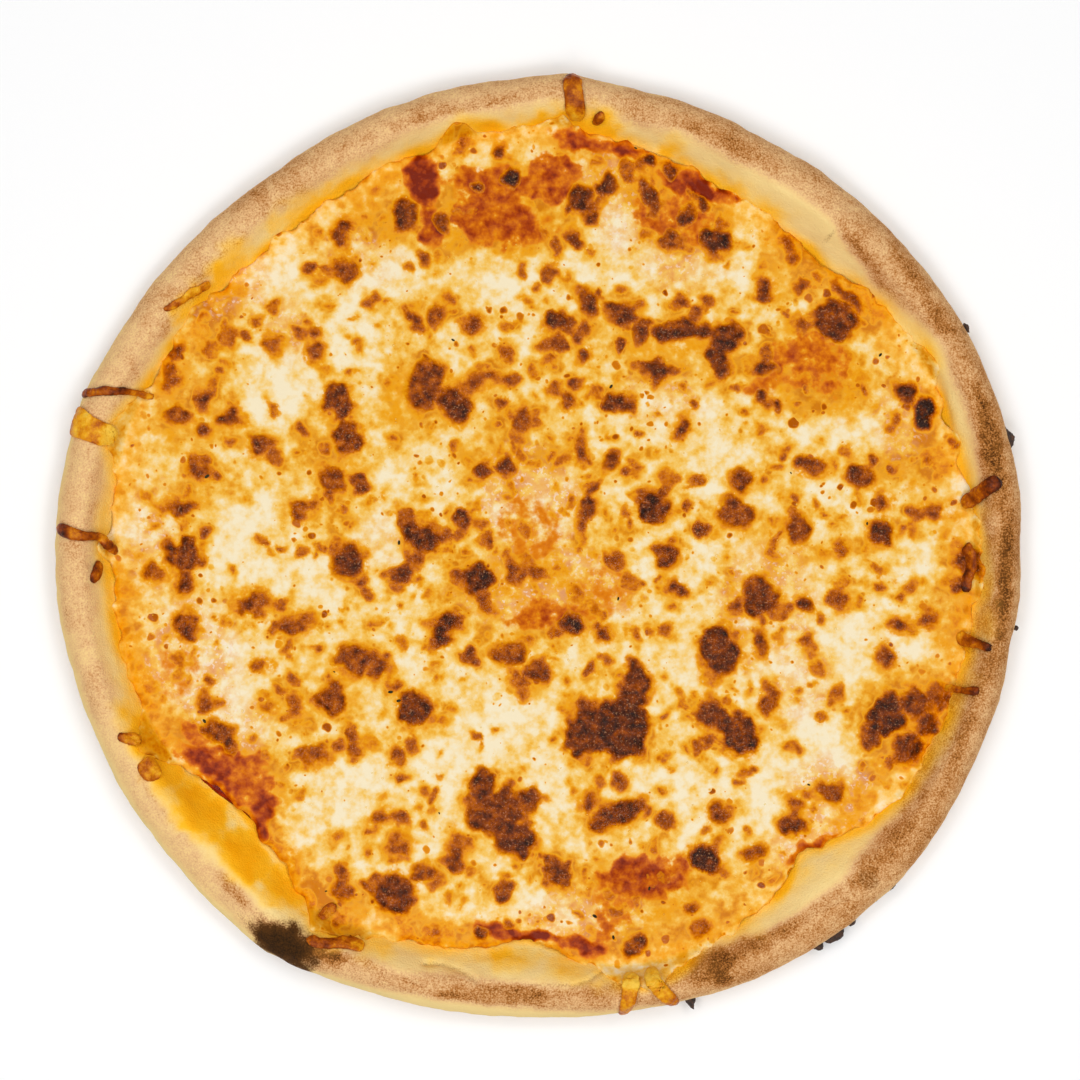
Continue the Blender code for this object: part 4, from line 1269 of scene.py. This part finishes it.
def sauce_finish():
    """Wet tomato: orange where it is thin, dark red where it baked dry."""
    material, tree, shader = new_finish("tomato_sauce")
    patches = grain(tree, 3.5 * MM, detail=3, roughness=0.6)
    colour = ramp(
        tree,
        patches,
        [
            (0.30, tone(84, 14, 2)),
            (0.48, tone(128, 26, 2)),
            (0.62, tone(164, 48, 4)),
            (0.80, tone(196, 84, 8)),
        ],
    )
    tree.links.new(colour, shader.inputs["Base Color"])
    tree.links.new(stretched(tree, patches, 0.12, 0.32), shader.inputs["Roughness"])
    bump(tree, shader, grain(tree, 1.1 * MM), 0.2 * MM)
    shader.inputs["Specular IOR Level"].default_value = 0.12
    return material


sauce_mesh = mesh_from("sauce", sauce_points, sauce_faces, sauce_fields)
sauce = grow(
    "sauce_layer",
    sauce_mesh,
    RELIEF,
    rise_height=MM,
    grain_height=0.1 * MM,
    grain_size=1.5 * MM,
    seed=3.0,
    finish=sauce_finish(),
)
print("the sauce has", triangles_of(sauce), "triangles")

# %% [markdown]
# ## Shreds of cheese on the rim
#
# Where loose shreds of cheese fell on the rim they fried brown and crisp, darkest at the
# tips and amber in the middle. Low down along their sides they are coloured darker too.
# Their solids already have the right routes and widths, so each shred starts as a copy of
# its own solid. The copy is merged, rounded with subdivision, lowered until it lies on the
# dough, and wrinkled.

# %% Shred meshes
SHREDS = [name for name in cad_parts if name.startswith("cheese_")]
FRYING = {  # how deeply each is fried, and how far its inner end melted back to plain cheese
    "cheese_shred_top": (0.52, 0.34),
    "cheese_shred_top_bead": (0.50, 0.0),
    "cheese_shred_upper_left": (0.42, 0.06),
    "cheese_shred_long_left": (0.66, 0.34),
    "cheese_flap_left": (0.32, 0.30),
    "cheese_shred_left": (0.56, 0.0),
    "cheese_drop_left": (0.66, 0.0),
    "cheese_horn_lower_left_a": (0.36, 0.10),
    "cheese_horn_lower_left_b": (0.34, 0.04),
    "cheese_hook_bottom_left": (0.54, 0.16),
    "cheese_bead_bottom_left": (0.56, 0.0),
    "cheese_shred_bottom_a": (0.32, 0.34),
    "cheese_shred_bottom_b": (0.32, 0.34),
    "cheese_shred_right_low_thin": (0.66, 0.34),
    "cheese_shred_right_low": (0.66, 0.34),
    "cheese_arc_right": (0.64, 0.0),
    "cheese_shred_right": (0.70, 0.24),
}
ground = tree_over(dough, cheese)


def merged_copy(node):
    """The solid as one connected mesh."""
    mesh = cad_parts[node].data.copy()
    work = bmesh.new()
    work.from_mesh(mesh)
    bmesh.ops.remove_doubles(work, verts=work.verts, dist=0.02 * MM)
    limits = {"angle_face_threshold": 0.5, "angle_shape_threshold": 0.8}
    bmesh.ops.join_triangles(work, faces=work.faces, **limits)
    bmesh.ops.recalc_face_normals(work, faces=work.faces)
    work.to_mesh(mesh)
    work.free()
    mesh.materials.clear()
    return mesh


def rounded(mesh, levels):
    """The mesh after subdivision, as plain data."""
    carrier = bpy.data.objects.new("rounding", mesh)
    scene.collection.objects.link(carrier)
    modifier = carrier.modifiers.new("rounding", "SUBSURF")
    modifier.levels = levels
    modifier.render_levels = levels
    smoothed = carrier.evaluated_get(bpy.context.evaluated_depsgraph_get())
    result = bpy.data.meshes.new_from_object(smoothed)
    bpy.data.objects.remove(carrier)
    return result


def settle(points, normals):
    """Lower a shred until its underside lies on what is under it, and find how far up each
    point is, from 0 to 1."""
    landed = points.copy()
    gaps = np.zeros(len(points))
    ways = np.zeros((len(points), 3))
    for i, point in enumerate(points):
        _, normal, _, gap = ground.find_nearest(Vector(point))
        gaps[i] = gap
        ways[i] = normal
    clearance = np.percentile(gaps, 4)
    up = (gaps - clearance) / max(np.percentile(gaps, 98) - clearance, 0.1 * MM)
    landed -= ways * (np.minimum(gaps, clearance) + 0.12 * MM)[:, None]
    landed += normals * (0.16 * MM)
    return landed, np.clip(up, 0, 1)


def make_shred(node, number, tree):
    """One fried shred: settled on the rim, wrinkled, with its darker ends stored."""
    mesh = rounded(merged_copy(node), levels=3)
    points = np.array([v.co for v in mesh.vertices])
    normals = np.array([v.normal for v in mesh.vertices])
    landed, up = settle(points, normals)
    spread = points - points.mean(axis=0)
    axis = np.linalg.svd(spread, full_matrices=False)[2][0]
    along = spread @ (axis * np.sign(axis @ points.mean(axis=0)))
    along = (along - along.min()) / (along.max() - along.min())
    outer, inner = smooth((along - 0.7) / 0.3), smooth((0.35 - along) / 0.35)
    wrinkle = 0.34 * layered(landed, 3.2 * MM, 200 + number)
    wrinkle += 0.16 * layered(landed, 1.3 * MM, 230 + number)
    landed += normals * (wrinkle * (0.35 + 0.65 * up) * MM)[:, None]
    # Darker low down along the sides, near the dough or cheese that the shred lies on.
    low_down = smooth((0.75 - up) / 0.5)
    base, melted = FRYING[node]
    fried = base + 0.10 * outer - melted * inner + 0.16 * low_down
    fried += 0.20 * layered(landed, 3.0 * MM, 260 + number)
    mesh.vertices.foreach_set("co", landed.ravel())
    layer = mesh.attributes.new("fried", "FLOAT", "POINT")
    layer.data.foreach_set("value", np.ascontiguousarray(fried, np.float32))
    for label, value in (("rise", 0.0), ("free", 1.0)):
        layer = mesh.attributes.new(label, "FLOAT", "POINT")
        layer.data.foreach_set("value", [value] * len(points))
    mesh.update()
    sizes = {"grain_height": 0.16 * MM, "grain_size": 1.1 * MM}
    return grow(node + "_fried", mesh, tree, **sizes, seed=float(number), finish=FRIED)


def fried_finish():
    """Crisp fried cheese, from pale amber to nearly burnt."""
    material, tree, shader = new_finish("fried_cheese")
    fine = grain(tree, 0.7 * MM, detail=2, roughness=0.7)
    patches = grain(tree, 2.4 * MM, detail=2, roughness=0.5)
    value = attribute(tree, "fried")
    value = math_of(tree, "MULTIPLY_ADD", math_of(tree, "SUBTRACT", fine, 0.5), 0.4, value)
    value = math_of(tree, "MULTIPLY_ADD", math_of(tree, "SUBTRACT", patches, 0.5), 0.5, value)
    colour = ramp(
        tree,
        value,
        [
            (0.00, tone(250, 200, 70)),
            (0.22, tone(242, 172, 28)),
            (0.40, tone(220, 134, 8)),
            (0.56, tone(184, 92, 4)),
            (0.72, tone(142, 60, 4)),
            (0.88, tone(98, 38, 8)),
            (1.00, tone(60, 26, 12)),
        ],
    )
    tree.links.new(colour, shader.inputs["Base Color"])
    shader.inputs["Roughness"].default_value = 0.3
    shader.inputs["Specular IOR Level"].default_value = 0.12
    bump(tree, shader, fine, 0.25 * MM)
    return material


FRIED = fried_finish()
fried_shreds = {node: make_shred(node, number, RELIEF) for number, node in enumerate(SHREDS)}
shred_triangles = sum(triangles_of(shred) for shred in fried_shreds.values())
print(len(fried_shreds), "shreds have", shred_triangles, "triangles")

# %% [markdown]
# ## Crumbs, herbs and beads of fat
#
# Small things make food look real. Burnt crumbs stick under the edge of the rim, dried herbs
# are baked into the cheese, and beads of fat glisten on the blisters. The crumbs are few and
# big, so each is listed one by one. The flecks of herb lie anywhere and the beads repeat more
# than a thousand times, which is work for Geometry Nodes: points are scattered on the sheet
# with a fixed seed, and each gets a small solid of 80 faces, turned to lie on the surface.

# %% Burnt crumbs
CRUMBS = (  # angle, radius, height, half depth, half width, half height in millimetres
    (307.0, 157.5, 4.0, 3.6, 4.8, 2.6), (309.6, 158.0, 3.4, 2.4, 2.2, 1.8),
    (304.8, 157.6, 4.2, 2.4, 2.2, 2.0), (315.8, 157.6, 4.0, 2.8, 2.6, 2.2),
    (313.4, 158.2, 3.0, 1.3, 1.3, 1.0), (288.2, 155.3, 4.2, 3.2, 1.7, 1.8),
    (13.1, 155.0, 7.6, 2.6, 3.6, 2.4), (27.2, 155.0, 8.6, 0.9, 1.5, 0.9),
    (350.2, 156.6, 7.0, 0.9, 0.9, 0.8),
)


def crumb_points(shape, number, angle, radius, level, deep, wide, high):
    """A lumpy crumb, turned to lie along the rim, pointed at its outer end."""
    points = shape.copy()
    points *= 1 + 0.30 * layered(points * 3 * MM + number * 0.01, 2.2 * MM, 300 + number)[:, None]
    points[:, 1] *= 1 - 0.35 * np.clip(points[:, 0], 0, 1)
    points *= np.array((deep, wide, high)) * MM
    cos, sin = math.cos(math.radians(angle)), math.sin(math.radians(angle))
    x, y = flat(angle, radius * MM)
    out, along, up = points.T
    turned = np.stack([out * cos - along * sin, out * sin + along * cos], axis=1)
    return np.column_stack([turned + (x, y), np.maximum(up + level * MM, 0.1 * MM)])


ball = bmesh.new()
bmesh.ops.create_icosphere(ball, subdivisions=4, radius=1)
ball_points = np.array([v.co for v in ball.verts])
ball_faces = [[v.index for v in face.verts] for face in ball.faces]
ball.free()
crumb_sets = [crumb_points(ball_points, number, *crumb) for number, crumb in enumerate(CRUMBS)]
starts = [number * len(ball_points) for number in range(len(CRUMBS))]
crumb_faces = [[start + i for i in face] for start in starts for face in ball_faces]


def burnt_finish():
    """Charred crumb: black, with a little brown in it."""
    material, tree, shader = new_finish("burnt_crumb")
    patches = grain(tree, 1.2 * MM, detail=3, roughness=0.7)
    colour = ramp(tree, patches, [(0.35, tone(30, 24, 22)), (0.7, tone(92, 58, 36))])
    tree.links.new(colour, shader.inputs["Base Color"])
    shader.inputs["Roughness"].default_value = 0.7
    bump(tree, shader, grain(tree, 0.8 * MM), 0.3 * MM)
    return material


crumb_mesh = mesh_from("burnt_crumbs", np.concatenate(crumb_sets), crumb_faces, {})
crumb_mesh.materials.append(burnt_finish())
crumb_mesh.shade_smooth()
crumbs = bpy.data.objects.new("burnt_crumbs", crumb_mesh)
scene.collection.objects.link(crumbs)
print(len(CRUMBS), "crumbs have", triangles_of(crumbs), "triangles")


# %% Scattering tree
def scatter_tree():
    """Small solids over a surface, where a stored field called open is above 0."""
    inputs = [
        ("Amount", "NodeSocketFloat", 1000.0),
        ("Seed", "NodeSocketInt", 1),
        ("Size", "NodeSocketFloat", 0.001),
        ("Size Spread", "NodeSocketFloat", 0.5),
        ("Length", "NodeSocketFloat", 1.0),
        ("Flatness", "NodeSocketFloat", 0.5),
        ("Finish", "NodeSocketMaterial", None),
    ]
    tree, given = new_tree("scattered_bits", inputs)
    density = math_of(tree, "MULTIPLY", given["Amount"], named(tree, "open"))
    values = {"Mesh": given["Geometry"], "Density": density, "Seed": given["Seed"]}
    spread = add(tree, "GeometryNodeDistributePointsOnFaces", values)
    bit = add(tree, "GeometryNodeMeshIcoSphere", {"Radius": 1.0, "Subdivisions": 2}).outputs["Mesh"]
    values = {0: given["Length"], 1: 1.0, 2: given["Flatness"]}
    shape = add(tree, "ShaderNodeCombineXYZ", values).outputs[0]
    bit = add(tree, "GeometryNodeTransform", {"Geometry": bit, "Scale": shape}).outputs[0]
    values = {"Min": 0.0, "Max": 2 * math.pi, "Seed": given["Seed"]}
    turn = add(tree, "FunctionNodeRandomValue", values)
    turn.data_type = "FLOAT"
    spin = add(tree, "ShaderNodeCombineXYZ", {2: turn.outputs["Value"]}).outputs[0]
    spin = add(tree, "FunctionNodeEulerToRotation", {0: spin}).outputs[0]
    values = {"Rotation": spread.outputs["Rotation"], "Rotate By": spin}
    lie = add(tree, "FunctionNodeRotateRotation", values, rotation_space="LOCAL").outputs[0]
    least = math_of(tree, "SUBTRACT", 1.0, given["Size Spread"])
    least = math_of(tree, "MULTIPLY", given["Size"], least)
    most = math_of(tree, "ADD", 1.0, given["Size Spread"])
    most = math_of(tree, "MULTIPLY", given["Size"], most)
    size = add(tree, "FunctionNodeRandomValue", {"Seed": math_of(tree, "ADD", given["Seed"], 7)})
    size.data_type = "FLOAT"
    tree.links.new(least, size.inputs["Min"])
    tree.links.new(most, size.inputs["Max"])
    values = {"Points": spread.outputs["Points"], "Instance": bit}
    values.update({"Rotation": lie, "Scale": size.outputs["Value"]})
    placed = add(tree, "GeometryNodeInstanceOnPoints", values)
    close_tree(tree, placed.outputs[0], given["Finish"])
    return tree


def scatter_on(piece, name, open_field, tree, **sizes):
    """Scatter bits over a copy of a piece's mesh."""
    mesh = piece.data.copy()
    layer = mesh.attributes.new("open", "FLOAT", "POINT")
    layer.data.foreach_set("value", np.ascontiguousarray(open_field, np.float32))
    return grow(name, mesh, tree, **sizes)


def field_of(piece, label):
    """A stored field, read back from a piece."""
    values = np.zeros(len(piece.data.vertices), np.float32)
    piece.data.attributes[label].data.foreach_get("value", values)
    return values


SCATTER = scatter_tree()
print("the scattering tree has", len(SCATTER.nodes), "nodes")


# %% Herbs and beads of fat
def herb_finish():
    """Dried herbs and pepper, baked nearly black."""
    material, tree, shader = new_finish("baked_herbs")
    patches = grain(tree, 0.9 * MM, detail=2)
    colour = ramp(tree, patches, [(0.4, tone(34, 30, 20)), (0.65, tone(70, 62, 30))])
    tree.links.new(colour, shader.inputs["Base Color"])
    shader.inputs["Roughness"].default_value = 0.6
    shader.inputs["Specular IOR Level"].default_value = 0.08
    return material


def fat_finish():
    """Beads of fat, which look clear because they have the colour of the cheese under them."""
    material, tree, shader = new_finish("beads_of_fat")
    value = math_of(tree, "MULTIPLY", attribute(tree, "browned"), 0.74)
    fat_colours = [(0.1, tone(246, 222, 160)), (0.5, tone(244, 186, 62)), (0.9, tone(226, 142, 4))]
    light = ramp(tree, attribute(tree, "oily"), fat_colours)
    colour = blend(tree, step_up(tree, value, 0.1, 0.35), light, ramp(tree, value, HEAT_COLOURS))
    tree.links.new(colour, shader.inputs["Base Color"])
    shader.inputs["Roughness"].default_value = 0.1
    shader.inputs["Specular IOR Level"].default_value = 0.3
    return material


top_side = np.arange(len(cheese.data.vertices)) < edge_start
blistered = smooth((field_of(cheese, "browned") - 0.45) / 0.4)
dry = 1 - smooth(field_of(cheese, "sauce_shows") / 0.4)
glossy = top_side * (0.06 + blistered) * dry
herbs = scatter_on(
    cheese,
    "herb_flecks",
    top_side * 1.0,
    SCATTER,
    amount=420.0,
    seed=11,
    size=0.34 * MM,
    size_spread=0.5,
    length=1.8,
    flatness=0.4,
    finish=herb_finish(),
)
beads = scatter_on(
    cheese,
    "fat_beads",
    glossy,
    SCATTER,
    amount=140000.0,
    seed=12,
    size=0.26 * MM,
    size_spread=0.5,
    length=1.25,
    flatness=0.5,
    finish=fat_finish(),
)
print("herbs have", triangles_of(herbs), "and beads of fat", triangles_of(beads), "triangles")

# %% [markdown]
# ## Hand over to the frame
#
# Each piece now stands for its solid: it hides that solid and rides on the pizza's one body.
# The two boxes are printed, so that the size of the finished model can be compared with the
# solids.

# %% Ride and replace
for piece, node, finish in (
    (dough, "crust", "dough"),
    (sauce, "sauce", "sauce"),
    (cheese, "cheese", "cheese"),
):
    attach(piece, "root")
    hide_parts(node)
for node, piece in fried_shreds.items():
    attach(piece, "root")
    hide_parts(node)
for piece, finish in ((crumbs, "dough"), (herbs, "browned_cheese"), (beads, "cheese")):
    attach(piece, "root")

LOOK_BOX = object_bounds()
boxes = {"solids": CAD_BOX, "finished": LOOK_BOX}
for name, box in boxes.items():
    measures = [round((high - low) / MM, 1) for low, high in zip(*box)]
    print("the", name, "model measures", measures, "mm")
